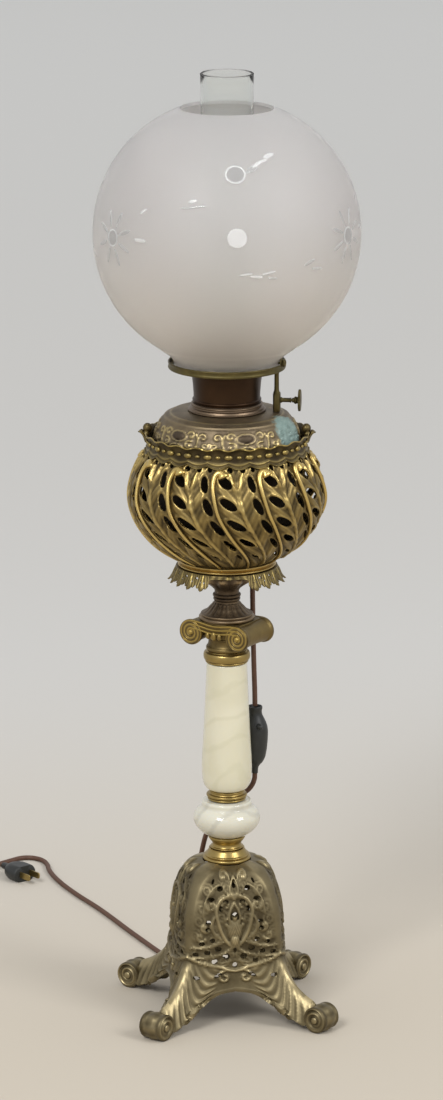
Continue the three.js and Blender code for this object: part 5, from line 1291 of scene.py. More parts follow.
burner_bore = 30.5 * MM
brown_collar = old_metal("brown_collar", (0.33, 0.24, 0.15), (0.165, 0.118, 0.078), (0.06, 0.042, 0.03),
                         smooth=0.26, dull=0.42, cloud=50.0, relief=0.5)
dark_burner = old_metal("dark_burner", (0.17, 0.085, 0.035), (0.05, 0.027, 0.014), (0.02, 0.013, 0.009),
                        smooth=0.24, dull=0.4, cloud=26.0, relief=0.36)
collar_line = [(1, 0), *ring_arc((0.985, 0.1), (0.015, 0.1), -80, 90, 4), (0.975, 0.22), (0.955, 0.42),
               (0.925, 0.5), (0.905, 0.54), (0.9, 0.68), *ring_arc((0.9, 0.82), (0.022, 0.11), steps=4),
               (0.89, 1)]
burner_line = [(0.83, 0), (0.835, 0.04), *ring_arc((0.835, 0.085), (0.022, 0.035)), (0.825, 0.14),
               (0.828, 0.3), (0.845, 0.6), (0.872, 0.86), (0.89, 0.93), (0.97, 0.95), (1, 0.965), (1, 1)]
for node, line, finish, slot in (("burner_collar", collar_line, brown_collar, "stem_bronze"),
                                 ("burner_body", burner_line, dark_burner, "burner_brown")):
    burner_shape = turn_on_lathe(node_outline(node, line, 1, burner_bore), 128)
    burner_piece = piece_from(burner_shape, node + "_spun", finish, 35)
    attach(burner_piece, "stand")
    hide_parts(node)
cup_outline = in_mm([
    (27, 642.0), (35.2, 642.0), (35.6, 642.4), (35.6, 652.2), (35.35, 652.7), (34.9, 652.7), (34.4, 652.2),
    (34.4, 644), (33.9, 643.5), (27, 643.5)])
cup = piece_from(turn_on_lathe(cup_outline), "chimney_gallery_spun", olive_brass, 40)
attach(cup, "stand")
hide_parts("chimney_gallery")

# Winder: a housing with a slim guide tube for the rack, and a knob on a spindle with a pinion.
# All are brass gone olive. The knob turns and winds the rack, with the wick, up and down.

winder_place = (46.283 * MM, -11.540 * MM, 0)
winder_turn = math.radians(-14)
winder_frame = Matrix.Translation(winder_place) @ Matrix.Rotation(winder_turn, 4, "Z")
winder_seat = 602.6 * MM
housing_top = 620.1 * MM
housing_size = (7 * MM, 11 * MM)
housing_offset = 2.2 * MM
housing_wall = 0.9 * MM
rack_hole_radius = 2.1 * MM
tube_top = 644.5 * MM
spindle_place = (0, 3.12 * MM, 613.09 * MM)
pinion_teeth = 8


def turned_along_x(outline, place, sides):
    """A round piece about a line along X, from an outline of radius and distance along it."""
    return moved(turn_on_lathe(outline, sides), place, math.pi / 2, "Y")


def rack_box():
    """The housing's box: open below, and with a round hole in its top for the rack."""
    box = block_of((*housing_size, housing_top - winder_seat),
                   (0, housing_offset, (housing_top + winder_seat) / 2))
    for upright, offset, segments in ((True, 2.4, 5), (False, 0.6, 2)):
        edges = [e for e in box.edges if (abs(e.verts[0].co.z - e.verts[1].co.z) > MM) == upright]
        rounded(box, edges, offset * MM, segments)
    box.normal_update()
    ends = sorted((f for f in box.faces if abs(f.normal.z) > 0.999), key=lambda f: f.calc_center_median().z)
    rim = list(ends[-1].edges)
    bmesh.ops.delete(box, geom=ends, context="FACES_ONLY")
    hole = bmesh.ops.create_circle(box, segments=24, radius=rack_hole_radius,
                                   matrix=Matrix.Translation((0, 0, housing_top)))
    hole_edges = {edge for vert in hole["verts"] for edge in vert.link_edges}
    bmesh.ops.triangle_fill(box, edges=rim + list(hole_edges), use_beauty=True)
    return facing_out(box, 0)


def rack_guide_parts():
    """Guide tube of the rack with its ferrules, and the sleeve that bears the spindle."""
    tube = turn_on_lathe([(r * MM, z) for r, z in [
        (2.0, housing_top - MM), (3.1, housing_top - MM), (3.2, housing_top + 1.2 * MM),
        (2.7, housing_top + 2.2 * MM), (2.3, housing_top + 4 * MM), (2.2, tube_top - 5 * MM),
        (2.5, tube_top - 4.4 * MM), (2.5, tube_top - 2.4 * MM), (2.2, tube_top - 2 * MM), (2.2, tube_top),
        (2.0, tube_top)]], 32)
    sleeve = turned_along_x(in_mm([
        (1.4, 2.8), (2.9, 2.8), (2.9, 4.4), (2.3, 4.9), (2.1, 6), (2.1, 12.4), (2.4, 12.8), (2.4, 13.8),
        (1.4, 13.8)]), spindle_place, 32)
    return [tube, sleeve]


def winder_knob_parts():
    """Spindle with its pinion, stepped hub and the flat knob with its milled edge."""
    spindle = turned_along_x(in_mm([(0, -1.5), (1.1, -1.5), (1.1, 19), (0, 19)]), spindle_place, 24)
    pinion = turn_on_lathe(in_mm([(1.0, -1.5), (2.8, -1.5), (2.8, 1.5), (1.0, 1.5)]), pinion_teeth * 16)
    for vert in pinion.verts:
        if math.hypot(vert.co.x, vert.co.y) > 2 * MM:
            turn = math.atan2(vert.co.y, vert.co.x) / math.tau * pinion_teeth
            # A tooth is full to an eighth of the pitch from its middle, and is gone at three tenths.
            vert.co.xy *= 0.64 + 0.36 * clamp((0.3 - abs(turn - round(turn))) / 0.18)
    knob = milled(turn_on_lathe(in_mm([
        (0, 14.4), (1.8, 14.4), (2.3, 14.9), (2.3, 16.2), (3.0, 16.7), (3.6, 17.4), (3.6, 18.6),
        (3.0, 19.4), (3.4, 20.2), (6.5, 20.5), (9.6, 20.6), (10.3, 20.8), (10.5, 21.3), (10.5, 22.3),
        (10.3, 22.8), (9.6, 23.0), (7.6, 22.7), (5.5, 22.5), (3.2, 22.6), (2.4, 22.9),
        (0, 23.0)]), 160), 10.5 * MM, 0.4 * MM)
    return [spindle, *(moved(shape, spindle_place, math.pi / 2, "Y") for shape in (pinion, knob))]


for parts, name, node, body in (([rack_box()], "rack_housing_cast", "rack_housing", "stand"),
                                (rack_guide_parts(), "rack_housing_guides", "rack_housing", "stand"),
                                (winder_knob_parts(), "winder_knob_milled", "winder_knob", "wick_knob")):
    winder_shape = joined(parts)
    bmesh.ops.transform(winder_shape, matrix=winder_frame, verts=winder_shape.verts)
    winder_piece = piece_from(winder_shape, name, olive_brass, 40)
    if name == "rack_housing_cast":
        give_wall(winder_piece, housing_wall)
    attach(winder_piece, body)
    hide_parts(node)

# Shade holder: a ledge with an upstanding rim on four arms, and a thumb screw that grips the globe.
# It is spun from brass, soldered, and slipped over the burner's flange.

hub_radius = 38.4 * MM
arm_count = 4
arm_start = 31
arm_width = 6.4 * MM
lug_angle = math.radians(-28.6)
lug_height = 652.7 * MM
holder_outline = in_mm([
    (45.0, 645.6), (45.2, 645.2), (46.0, 645.5), (54.0, 645.4), (54.9, 644.7), (55.9, 645.0), (56.3, 645.8),
    (56.1, 646.8), (55.7, 647.4), (55.8, 649.6), (56.3, 650.3), (56.3, 651.1), (55.8, 651.7), (55.1, 651.7),
    (54.7, 651.1), (54.7, 647.7), (54.3, 647.3), (45.5, 647.3), (45.0, 646.9)])
holder_hub_outline = in_mm([(36.0, 642.1), (38.1, 642.1), (38.4, 642.4), (38.4, 646.9), (38.0, 647.3),
                            (36.0, 647.3)])


def shade_holder_parts():
    """Ledge, hub, arms and screw lug of the holder."""
    length = 46.5 * MM - hub_radius + 2 * MM
    arm = block_of((length, arm_width, 1.6 * MM), (hub_radius - MM + length / 2, 0, 646.4 * MM))
    arm = rounded(arm, arm.edges, 0.4 * MM)
    lug = turned_along_x(in_mm([
        (1.6, 54.5), (3.6, 54.5), (4.3, 54.8), (4.6, 55.3), (4.3, 55.9), (3.6, 56.25), (1.6, 56.25)]),
        (0, 0, lug_height), 48)
    return [turn_on_lathe(holder_outline, 144), turn_on_lathe(holder_hub_outline, 96),
            round_the_middle(arm, arm_count, arm_start), moved(lug, turn=lug_angle)]


def thumb_screw():
    """Screw of the holder: a plain shaft with a milled, hollow-faced head."""
    screw = turned_along_x(in_mm([
        (0, 52.15), (1.0, 52.15), (1.3, 52.5), (1.3, 56.65), (3.2, 56.65), (3.6, 57.0), (3.6, 58.5),
        (3.2, 58.95), (2.6, 58.95), (1.9, 58.2), (0, 58.0)]), (0, 0, lug_height), 96)
    return moved(screw, turn=lug_angle)


for shape, name, node, body in ((joined(shade_holder_parts()), "shade_ring_spun", "shade_ring", "stand"),
                                (thumb_screw(), "ring_screw_turned", "ring_screw", "shade_screw")):
    holder_piece = piece_from(shape, name, olive_brass, 40)
    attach(holder_piece, body)
    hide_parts(node)

# Chimney: clear blown glass with a waist above its foot and a fire-polished top. It lifts out of its cup.

chimney_wall = 1.8 * MM
chimney_low, chimney_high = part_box("chimney")
chimney_height = chimney_high.z - chimney_low.z
# Outside radius in millimetres, and height share.
chimney_line = smooth_line([
    (33.3, 0), (33.3, 0.06), (34.6, 0.095), (35.6, 0.13), (34.9, 0.185), (32.6, 0.24), (29.5, 0.31),
    (27.2, 0.38), (25.7, 0.46), (25.2, 0.55), (25.2, 0.78), (25.2, 1),
], 4)
chimney_outer = [(r * MM, chimney_low.z + z * chimney_height) for r, z in chimney_line]
lip_radius = chimney_wall / 2
lip_middle = (chimney_outer[-1][0] - lip_radius, chimney_high.z - lip_radius)
chimney_lip = ring_arc(lip_middle, (lip_radius * 1.25, lip_radius), 0, 180, 6)
chimney_inner = [(r - chimney_wall, z) for r, z in reversed(chimney_outer[:-1])]
chimney_shape = turn_on_lathe(chimney_outer[:-1] + chimney_lip + chimney_inner, 96)
clear_glass, glass_tree = new_material("chimney_glass")
smears = ranged(glass_tree, noise(glass_tree, object_place(glass_tree), 45.0, 5.0), 0.45, 0.8, 0.01, 0.16)
# The top edge is ground, so it is white and dull.
ground_top = ranged(glass_tree, place_along(glass_tree, "Z"), chimney_high.z - 1.2 * MM,
                    chimney_high.z - 0.9 * MM)
shade(glass_tree, {
    "Base Color": mix_colors(glass_tree, ground_top, (0.96, 0.975, 0.965), (1.0, 1.0, 1.0)),
    "Roughness": add_node(glass_tree, "Mix", {"Factor": ground_top, "A": smears, "B": 0.6}),
    "Transmission Weight": 1.0, "IOR": 1.45,
})
chimney = piece_from(chimney_shape, "chimney_blown", clear_glass, 60)
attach(chimney, "glass_chimney")
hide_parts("chimney")

# Ball shade: blown glass, acid-frosted, with a ground top and a straight neck that stands in the holder.
# Flowers, leaves and round spots are cut through the frosting and polished clear.

globe_seat = 647.6 * MM
globe_radius = 127.5 * MM
globe_neck_radius = 50.8 * MM
globe_neck_height = 10.6 * MM
globe_top_radius = 44.6 * MM
globe_wall = 3 * MM
# Flare of the neck, in millimetres: radius and height over the seat, up to where the ball begins.
globe_flare = [(50.8, 0), (50.8, 2.4), (51.2, 4.5), (52.5, 6.9), (55.0, 9.8), (58.8, 12.9), (63.0, 15.8),
               (67, 18.6)]
globe_center = globe_seat + globe_neck_height + math.sqrt(globe_radius ** 2 - globe_neck_radius ** 2)
view_azimuth = math.radians(-8.6)
view_pitch = math.radians(14.3)
view_back = Vector((
    math.sin(view_azimuth) * math.cos(view_pitch), -math.cos(view_azimuth) * math.cos(view_pitch),
    math.sin(view_pitch),
))
view_right = Vector((math.cos(view_azimuth), math.sin(view_azimuth), 0))
view_up = view_back.cross(view_right)
# The globe in the photograph: its middle and radius in pixels.
globe_pixel = (221.3, 232.6)
globe_pixel_radius = 135.4
# Cut leaves and spots by their place in the photograph: middle, half length, half width, turn in degrees,
# and how white each is, from 0 to 1. That white is partly frosting left in the cut and partly painted
# highlight, most of all on the bright round spot in front.
cut_marks = [
    (229.4, 183.6, 10.4, 10.2, 0, 0), (231.2, 246.7, 9.8, 9.6, 0, 0.75), (243.6, 178.4, 5.6, 2.0, 52, 0.1),
    (250.5, 172.8, 6.2, 1.9, 42, 0.6), (256.5, 169.2, 5.4, 1.7, 30, 0.6), (262, 163.6, 6.4, 2.6, 36, 0.6),
    (247.5, 178.6, 5.0, 1.6, 40, 0.1), (135.3, 246.9, 7.6, 2.0, -4, 0.5), (139.0, 218.4, 4.6, 1.6, 22, 0.5),
    (187.4, 210.2, 4.2, 2.0, 10, 0.5), (188.5, 216, 13, 1.3, 2, 0.1), (250.5, 284, 6.5, 1.6, -8, 0.6),
    (240, 282, 7, 1.2, 6, 0.5), (262, 280.2, 7.5, 1.2, 8, 0.4), (266, 285, 5, 1.1, -12, 0.3),
    (303, 268.5, 6.5, 1.6, 16, 0.15), (310, 274, 7, 1.4, -10, 0.15),
]
cut_flowers = [(107.9, 242.3), (343.8, 231.8)]
flower_petals = 8
flower_center_radius = 8.6 * MM
petal_reach = 19 * MM
petal_half_length = 8.5 * MM
petal_half_width = 1.9 * MM
cut_repeats = 3


def globe_shell():
    """Neck and ball as one wall of glass, with a flare between them and a ground top edge."""
    end = math.acos(globe_top_radius / globe_radius)
    flare = smooth_line(globe_flare, 3)[:-1]
    joint = -math.acos(globe_flare[-1][0] * MM / globe_radius)
    outer = [(r * MM, globe_seat + z * MM) for r, z in flare]
    outer += [(globe_radius * math.cos(a), globe_center + globe_radius * math.sin(a))
              for a in np.linspace(joint, end, 60)]
    inner = [(r * MM - globe_wall, globe_seat + z * MM + 0.4 * globe_wall * (z > 4)) for r, z in flare]
    small = globe_radius - globe_wall
    inner += [(small * math.cos(a), globe_center + small * math.sin(a))
              for a in np.linspace(joint, end, 60)]
    return turn_on_lathe(outer + inner[::-1], 128)


def lay_on_globe(normal, along, half_length, half_width, white_and_highlight):
    """A low polished lens on the ball, where normal points out, with a whitish edge and painted highlight.
    """
    lens = bmesh.new()
    bmesh.ops.create_uvsphere(lens, u_segments=20, v_segments=10, radius=1)
    # Its relief value is how white it is: frosting at the edge, and painted highlight over the whole lens.
    rubbed_or_highlit(lens, lambda vert: max(white_and_highlight, 0.45 * min(1, (0.75 - vert.co.z) / 0.35)))
    relief = lens.verts.layers.float["relief"]
    for face in lens.faces:
        face.material_index = int(max(vert[relief] for vert in face.verts) > 0.35)
    along = (along - normal * along.dot(normal)).normalized()
    sink = globe_radius - 0.1 * MM
    axes = Matrix((along * half_length, normal.cross(along) * half_width, normal * 0.45 * MM))
    place = Matrix.Translation(Vector((0, 0, globe_center)) + normal * sink)
    bmesh.ops.transform(lens, matrix=place @ axes.transposed().to_4x4(), verts=lens.verts)
    return lens


def cut_normal(pixel):
    """The ball's normal where it shows at a pixel of the photograph."""
    across = (pixel[0] - globe_pixel[0]) / globe_pixel_radius
    up = (globe_pixel[1] - pixel[1]) / globe_pixel_radius
    deep = math.sqrt(max(0, 1 - across ** 2 - up ** 2))
    return (view_right * across + view_up * up + view_back * deep).normalized()


def globe_cuts():
    """Every cut of the shade: one third as it shows in front, and repeated round the back."""
    pixel = globe_radius / globe_pixel_radius
    lenses = []
    for x, y, half_length, half_width, degrees, white_and_highlight in cut_marks:
        turn = math.radians(degrees)
        along = view_right * math.cos(turn) + view_up * math.sin(turn)
        lenses.append((cut_normal((x, y)), along, half_length * pixel, half_width * pixel, white_and_highlight))
    center = cut_normal(cut_flowers[0])
    sideways = Vector((0, 0, 1)).cross(center).normalized()
    upwards = center.cross(sideways)
    lenses.append((center, upwards, flower_center_radius, flower_center_radius, 0.1))
    for k in range(flower_petals):
        angle = math.tau * (k + 0.5) / flower_petals
        way = sideways * math.cos(angle) + upwards * math.sin(angle)
        normal = (center + way * petal_reach / globe_radius).normalized()
        lenses.append((normal, way, petal_half_length, petal_half_width, 0.25))
    parts = []
    for k in range(cut_repeats):
        turn = Matrix.Rotation(math.tau * k / cut_repeats, 3, "Z")
        parts += [lay_on_globe(turn @ normal, turn @ along, *sizes) for normal, along, *sizes in lenses]
    return parts


def frosted_material():
    """Acid-frosted glass: milky, softly shining, faintly cloudy, with painted warm brass light low down."""
    material, tree = new_material("frosted_globe")
    place = object_place(tree)
    # Painted light: the glass is warm below 0.65 m up and neutral above 0.82 m, for the brass seen through
    # it.
    upwards = ranged(tree, place_along(tree, "Z"), 0.65, 0.82, smooth=True)
    tone = mix_colors(tree, upwards, (0.99, 0.95, 0.89), (0.90, 0.892, 0.885))
    cloud = ranged(tree, noise(tree, place, 7.0, 3.0), 0.35, 0.75, high=0.35)
    shade(tree, {"Base Color": mix_colors(tree, cloud, tone, (0.90, 0.86, 0.86)), "IOR": 1.45,
                 "Transmission Weight": 0.8,
                 "Roughness": ranged(tree, noise(tree, place, 1800.0, 2.0), low=0.5, high=0.62)})
    return material


globe = piece_from(globe_shell(), "ball_shade_frosted", frosted_material(), 40)


def cut_glass(name, transmission):
    """Polished glass of the cuts, the whiter the more of the frosting is left and the more highlight is
    painted.
    """
    material, tree = new_material(name)
    edge = add_node(tree, "Attribute", {}, "Fac", attribute_name="relief")
    tone = mix_colors(tree, noise(tree, object_place(tree), 60.0, 2.0), (0.80, 0.80, 0.80),
                      (0.88, 0.88, 0.88))
    # The relief value whitens it: frosting left at a cut's edge, and painted highlight.
    shade(tree, {"Base Color": mix_colors(tree, edge, tone, (1.0, 1.0, 1.0)), "Roughness": 0.06,
                 "Transmission Weight": transmission})
    return material


cuttings = piece_from(joined(globe_cuts()), "ball_shade_cuts", cut_glass("cut_glass_clear", 0.75), 60)
# Cuts with much white, frosting and painted highlight alike, take this whiter, less clear finish.
cuttings.data.materials.append(cut_glass("cut_glass_white_highlit", 0.42))
for piece in (globe, cuttings):
    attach(piece, "globe")
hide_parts("globe_shade", "globe_neck")

# Lamp inside the shade: a porcelain socket on the draught tube, and a torpedo bulb with a brass screw base.

bulb_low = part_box("bulb_glass")[0].z
bulb_radius = 17.5 * MM
bulb_height = 100 * MM
bulb_line = smooth_line([(0.36, 0), (0.5, 0.05), (0.82, 0.18), (0.97, 0.3), (1, 0.4), (0.97, 0.52),
                         (0.88, 0.65), (0.66, 0.82), (0.36, 0.94), (0, 1)], 4)
bulb_outer = [(r * bulb_radius, bulb_low + z * bulb_height) for r, z in bulb_line]
bulb_inner = [(max(0, r * (bulb_radius - MM)), bulb_low + MM + z * (bulb_height - 3 * MM))
              for r, z in bulb_line]
bulb = piece_from(turn_on_lathe(bulb_outer + bulb_inner[::-1], 64), "bulb_glass_blown", clear_glass, 60)
base_top = bulb_low - 0.3 * MM
thread_turns = 5
thread_line = [(6.2 - 0.45 * wave(thread_turns * t), -22.5 + 20 * t)
               for t in np.linspace(0, 1, 41)]
base_line = [(5.4, -23), *thread_line, (6.2, -1), (6.2, 0), (5.4, 0)]
screw_base = piece_from(turn_on_lathe(in_mm(base_line, base_top), 48), "bulb_base_screw", turned_brass, 50)
socket_low = 632.9 * MM
socket_line = [(2.8, -9), (11.2, -9), (11.2, 0), (12.2, 0), (12.6, 0.4), (12.6, 1.2), (12.2, 1.6),
               (10.5, 2.0), (10.5, 31.2), (9.8, 32), (7.6, 32), (7.0, 31.4), (7.0, 8), (2.8, 8)]
porcelain, porcelain_tree = new_material("glazed_porcelain")
glaze = noise(porcelain_tree, object_place(porcelain_tree), 90.0, 3.0)
glaze_color = mix_colors(porcelain_tree, glaze, (0.80, 0.78, 0.72), (0.88, 0.87, 0.83))
shade(porcelain_tree, {"Base Color": glaze_color, "Roughness": 0.18})
socket = piece_from(turn_on_lathe(in_mm(socket_line, socket_low), 64), "lamp_socket_glazed", porcelain, 40)
for piece, node, slot in ((bulb, "bulb_glass", "clear_glass"), (screw_base, "bulb_base", "bright_brass"),
                          (socket, "lamp_socket", "white_porcelain")):
    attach(piece, "stand")
    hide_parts(node)

# Parts that the frame already holds in their true shape: tank, tube, rod, nuts, pan, rack and wick carrier.
# They are inside the lamp, and get the finish of what they are made of.

dark_tank = old_metal("dark_tank", (0.10, 0.078, 0.045), (0.035, 0.027, 0.018), (0.015, 0.012, 0.009),
                      smooth=0.4, dull=0.6, cloud=40.0, relief=0.4)
dull_steel = old_metal("dull_steel", (0.42, 0.40, 0.38), (0.24, 0.225, 0.21), (0.10, 0.075, 0.055),
                       smooth=0.3, dull=0.5, cloud=90.0, relief=0.55)
inside_brass = old_metal("inside_brass", (0.34, 0.26, 0.11), (0.16, 0.12, 0.055), (0.06, 0.045, 0.025),
                         smooth=0.32, dull=0.55, cloud=70.0, relief=0.45)


def moulded_plastic(name, dark, light, gloss, dull):
    """Old moulded plastic: nearly even in colour, with faint dust and a fine orange-peel surface."""
    material, tree = new_material(name)
    dust = noise(tree, object_place(tree), 160.0, 5.0, 0.65)
    shade(tree, {"Base Color": mix_colors(tree, dust, dark, light),
                 "Normal": bump(tree, dust, 0.25, 0.0001),
                 "Roughness": ranged(tree, dust, low=gloss, high=dull)})
    return material


brown_rubber = moulded_plastic("cord_rubber", (0.058, 0.023, 0.011), (0.13, 0.06, 0.034), 0.45, 0.65)
black_plastic = moulded_plastic("black_plastic", (0.008, 0.009, 0.009), (0.024, 0.026, 0.024), 0.3, 0.55)
kept_nodes = (
    (dark_tank, ("font_tank",)), (brown_rubber, ("socket_lead",)), (black_plastic, ("cord_bush",)),
    (dull_steel, ("draught_tube", "tie_rod", "base_washer", "base_nut", "bowl_nut", "switch_screw")),
    (inside_brass, ("bowl_pan", "rack_rod", "wick_carrier")),
)
for finish, nodes in kept_nodes:
    for node in nodes:
        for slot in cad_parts[node].material_slots:
            slot.material = finish

# Cords: brown twin lamp cord. One length hangs from the bowl's bush to the in-line switch, and the other
# runs from the switch down behind the knop and over the floor to a neat coil, with the plug beside it.

cord_diameter = 5 * MM


def metres(route):
    return [(x * MM, y * MM, z * MM) for x, y, z in route]


# Route of the hanging cord in millimetres, from the bush down to the switch.
upper_route = metres([
    (28, 20, 444.3), (28.1, 20.1, 430), (28.6, 20.7, 400), (29.4, 21.6, 365), (30.4, 22.8, 335),
    (31.2, 23.6, 314), (31.4, 23.8, 300.8),
])
# Route of the long cord in millimetres, from the switch's lower end to the coil.
lower_route = metres([
    (31.4, 23.8, 232.2), (31, 24.1, 226), (27.5, 26.5, 217), (21, 30, 210), (13.5, 35, 203.5),
    (4.5, 40, 196), (-4, 45.5, 184), (-11, 52, 167), (-15.5, 59, 145), (-18.5, 65.5, 118), (-20.5, 72, 90),
    (-23, 79.5, 62), (-26, 90, 38), (-29.5, 104.5, 18), (-34, 124.5, 6.5), (-37.5, 143, 3),
    (-42, 162, 2.6), (-51.5, 194, 2.6), (-65, 240.5, 2.6), (-86.5, 316.5, 2.6), (-105.5, 373, 2.6),
    (-118, 420.5, 2.6), (-122.5, 453.5, 2.6), (-122.5, 475, 2.6), (-125.5, 488, 2.6), (-131.5, 496, 2.6),
    (-139, 500, 2.6), (-148, 499.5, 2.6), (-157, 494, 2.6), (-166.5, 487.3, 2.6), (-177, 480, 2.6),
    (-188.5, 472.1, 2.6), (-203.7, 461.7, 2.6),
])
coil_centre = (-0.2275, 0.4870)
coil_radius = 27.5 * MM
coil_pitch = 5.6 * MM
coil_entry = math.radians(214.4)
coil_exit = math.radians(301.4)
coil_turns = 5
coil_steps = 24
cord_on_floor = 2.6 * MM
lead_in = 5 * MM
plug_half_width = 14.5 * MM
plug_thickness = 17 * MM
tail_length = 60 * MM


def coil_route():
    """The coil's points: in towards the middle, up a layer where the spiral turns back, and out again."""
    turning = math.tau * coil_turns - (coil_exit - coil_entry)
    half = turning / 2
    soften = math.pi / 4

    def spiral(angle):
        return coil_pitch * (math.hypot(angle, soften) - soften) / math.tau

    inner = coil_radius - spiral(half) / 2
    points = []
    steps = round(turning / math.tau * coil_steps)
    for k in range(steps + 1):
        angle = -half + turning * k / steps
        heading = coil_entry - (angle + half)
        radius = inner + spiral(angle)
        climb = clamp((angle + math.pi / 2) / math.pi)
        climb = climb * climb * (3 - 2 * climb)
        points.append((
            coil_centre[0] - radius * math.sin(heading), coil_centre[1] + radius * math.cos(heading),
            cord_on_floor + climb * coil_pitch,
        ))
    return points


def cord_curve(name, route, material):
    """A cord as one smooth curve through its route."""
    data = bpy.data.curves.new(name, "CURVE")
    data.dimensions = "3D"
    data.bevel_depth = cord_diameter / 2
    data.bevel_resolution = 3
    data.resolution_u = 5
    data.use_fill_caps = True
    spline = data.splines.new("BEZIER")
    spline.bezier_points.add(len(route) - 1)
    for point, place in zip(spline.bezier_points, route):
        point.co = place
        point.handle_left_type = "AUTO"
        point.handle_right_type = "AUTO"
    data.materials.append(material)
    cord = bpy.data.objects.new(name, data)
    bpy.context.scene.collection.objects.link(cord)
    return cord


upper_cord = cord_curve("upper_cord_brown", upper_route, brown_rubber)
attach(upper_cord, "stand")
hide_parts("upper_cord")

coil_points = coil_route()
coil_out = Vector((math.cos(coil_exit), math.sin(coil_exit), 0))
coil_end = Vector(coil_points[-1]) + coil_out * lead_in
plug_back = Vector((coil_end.x, coil_end.y, plug_thickness / 2)) + coil_out * tail_length
tail_route = [tuple(coil_end.lerp(plug_back, share)) for share in (0, 0.35, 0.7)]
tail_route.append(tuple(plug_back))
long_route = lower_route + coil_points + tail_route
lower_cord = cord_curve("lower_cord_brown", long_route, brown_rubber)
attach(lower_cord, "stand")
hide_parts("lower_cord", "cord_coil", "plug_cord")

# Switch: black and pear-shaped, moulded in two halves that one screw clamps round the cord.
# The cord goes in at a cupped mouth, and a push bar goes through both sides.

switch_place = (31.4 * MM, 23.8 * MM, 300.5 * MM)
switch_turn = math.radians(-78.6)
switch_radius = 12.9 * MM
switch_height = 68 * MM
switch_gap = 0.3 * MM
switch_line = [
    (0.2, 0.07), (0.36, 0.07), (0.42, 0.055), (0.44, 0.01), (0.48, 0), (0.545, 0), (0.57, 0.012),
    (0.57, 0.035), (0.53, 0.06), (0.525, 0.09), (0.57, 0.13), (0.7, 0.18), (0.85, 0.24), (0.95, 0.3),
    (1, 0.37), (0.995, 0.43), (0.98, 0.5), (0.92, 0.63), (0.81, 0.75), (0.7, 0.8), (0.57, 0.84),
    (0.42, 0.87), (0.3, 0.9), (0.25, 0.94), (0.24, 1), (0.2, 1),
]
push_bar_drop = 17.7 * MM
push_bar_radius = 2.6 * MM
push_bar_ends = (-13.0 * MM, 18.0 * MM)


def switch_half(side):
    """One half of the switch, cut flat where the halves meet."""
    shape = turn_on_lathe([(r * switch_radius, -z * switch_height) for r, z in switch_line], 64)
    cut = bmesh.ops.bisect_plane(shape, geom=shape.verts[:] + shape.edges[:] + shape.faces[:],
                                 plane_co=(side * switch_gap / 2, 0, 0), plane_no=(side, 0, 0),
                                 clear_inner=True)
    edges = [item for item in cut["geom_cut"] if isinstance(item, bmesh.types.BMEdge)]
    bmesh.ops.triangle_fill(shape, edges=edges, use_beauty=True)
    return normals_out(shape)


def push_bar():
    """The round bar, with domed ends."""
    low, high = push_bar_ends
    r = push_bar_radius
    line = [(0, low), (0.55 * r, low + 0.15 * r), (0.85 * r, low + 0.45 * r), (r, low + r), (r, high - r),
            (0.85 * r, high - 0.45 * r), (0.55 * r, high - 0.15 * r), (0, high)]
    return turned_along_x(line, (0, 0, -push_bar_drop), 32)


switch_frame = Matrix.Translation(switch_place) @ Matrix.Rotation(switch_turn, 4, "Z")
for shape, name, node, body in ((switch_half(1), "switch_front_moulded", "switch_front", "stand"),
                                (switch_half(-1), "switch_back_moulded", "switch_back", "stand"),
                                (push_bar(), "switch_bar_turned", "switch_bar", "push_bar")):
    bmesh.ops.transform(shape, matrix=switch_frame, verts=shape.verts)
    switch_piece = piece_from(shape, name, black_plastic, 40)
    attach(switch_piece, body)
    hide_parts(node)

# Plug: a black moulded body with finger grips and a sleeve round the cord, and two flat brass blades.

plug_line = [(-12, 2.7), (-12, 3.3), (-4, 4.0), (-1, 4.6), (0, 7.0), (1.2, 8.6), (4, 11.0), (8, 13.0),
             (12, 14.0), (15, 14.3), (24.5, 14.3), (25.5, 13.9), (26, 13.0), (26, 0), (-10, 0), (-10, 2.7)]
plug_flatness = 0.72
grip_pitch = 2.6 * MM
blade_size = (20, 1.5, 6.4)
blade_middle = 32
blade_spacing = 12.7 * MM


def plug_shape():
    """Body and sleeve: turned, pressed flat to an oval, and grooved for the fingers."""
    shape = turned_along_x([(r * MM, x * MM) for x, r in plug_line], (0, 0, 0), 64)
    half = plug_thickness / 2
    for vert in shape.verts:
        if vert.co.x > -0.5 * MM:
            vert.co.z = max(-half, min(half, vert.co.z * plug_flatness))
        if 3 * MM < vert.co.x < 24 * MM and abs(vert.co.y) > 0.75 * plug_half_width:
            vert.co.y -= math.copysign(0.5 * MM * (vert.co.x % grip_pitch > grip_pitch / 2), vert.co.y)
    return shape


def plug_blade(side):
    """One blade with rounded corners."""
    shape = block_of([size * MM for size in blade_size], (blade_middle * MM, side * blade_spacing / 2, 0))
    tips = [e for e in shape.edges if all(v.co.x > blade_middle * MM for v in e.verts)
            and abs(e.verts[0].co.y - e.verts[1].co.y) > 0.5 * MM]
    return rounded(shape, tips, 1.8 * MM, 4)


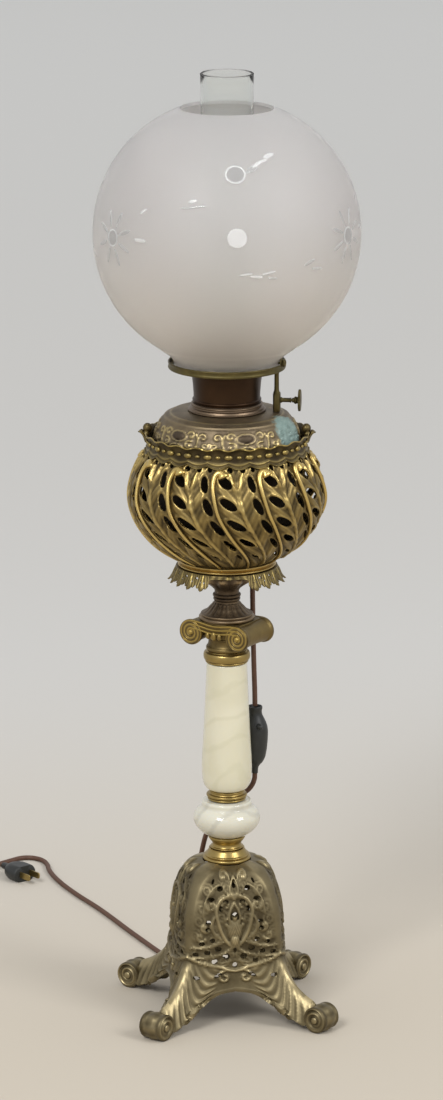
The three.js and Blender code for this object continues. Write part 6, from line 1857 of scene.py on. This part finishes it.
plug_frame = Matrix.Translation(plug_back) @ Matrix.Rotation(coil_exit, 4, "Z")
for shape, name, node, finish, slot in (
        (plug_shape(), "plug_body_moulded", "plug_body", black_plastic, "black_plastic"),
        (plug_blade(1), "plug_blade_left_pressed", "plug_blade_left", turned_brass, "bright_brass"),
        (plug_blade(-1), "plug_blade_right_pressed", "plug_blade_right", turned_brass, "bright_brass")):
    bmesh.ops.transform(shape, matrix=plug_frame, verts=shape.verts)
    plug_piece = piece_from(shape, name, finish, 40)
    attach(plug_piece, "stand")
    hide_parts(node)

# Floor, light and camera: a plain pale floor, warm near the front and cooler behind, under two soft lamps.
# The camera stands far off, a little to the left and above, where the photograph was taken from.

floor_half = 20.0
floor_shape = flat_grid(2, 2, floor_half)
floor_finish, floor_tree = new_material("floor_paper")
floor_depth = place_along(floor_tree, "Y")
floor_near = mix_colors(floor_tree, ranged(floor_tree, floor_depth, -0.1, 1.4, smooth=True),
                        (0.55, 0.495, 0.41), (0.585, 0.575, 0.55))
floor_color = mix_colors(floor_tree, ranged(floor_tree, floor_depth, 1.6, 7.0, smooth=True), floor_near,
                         (0.70, 0.70, 0.68))
shade(floor_tree, {"Base Color": floor_color, "Roughness": 0.9})
floor = piece_from(floor_shape, "floor", floor_finish)

world = bpy.data.worlds.new("pale_sky")
bpy.context.scene.world = world
world.use_nodes = True
give_inputs(world.node_tree, world.node_tree.nodes["Background"],
            {"Color": (0.90, 0.90, 0.91, 1), "Strength": 0.72})
bpy.context.scene.view_settings.view_transform = "Standard"


def soft_lamp(name, place, target, size, power):
    """A square lamp that faces a point of the object."""
    data = bpy.data.lights.new(name, "AREA")
    data.size = size
    data.energy = power
    lamp = bpy.data.objects.new(name, data)
    bpy.context.scene.collection.objects.link(lamp)
    lamp.location = place
    lamp.rotation_euler = (Vector(target) - Vector(place)).to_track_quat("-Z", "Y").to_euler()


lamp_size = 3.0
lamp_aim = (0, 0, 0.5)
soft_lamp("left_lamp", (-4.2, -5.6, 6.5), lamp_aim, lamp_size, 420)
soft_lamp("right_lamp", (5.0, -4.5, 5.5), lamp_aim, lamp_size, 260)

camera_place = (-0.7166, -4.7039, 1.6775)
camera_data = bpy.data.cameras.new("camera")
camera_data.lens = 166.9
camera_data.sensor_width = 36
camera_data.clip_end = 100
camera = bpy.data.objects.new("camera", camera_data)
bpy.context.scene.collection.objects.link(camera)
camera.location = camera_place
camera.rotation_euler = (-view_back).to_track_quat("-Z", "Y").to_euler()
bpy.context.scene.camera = camera
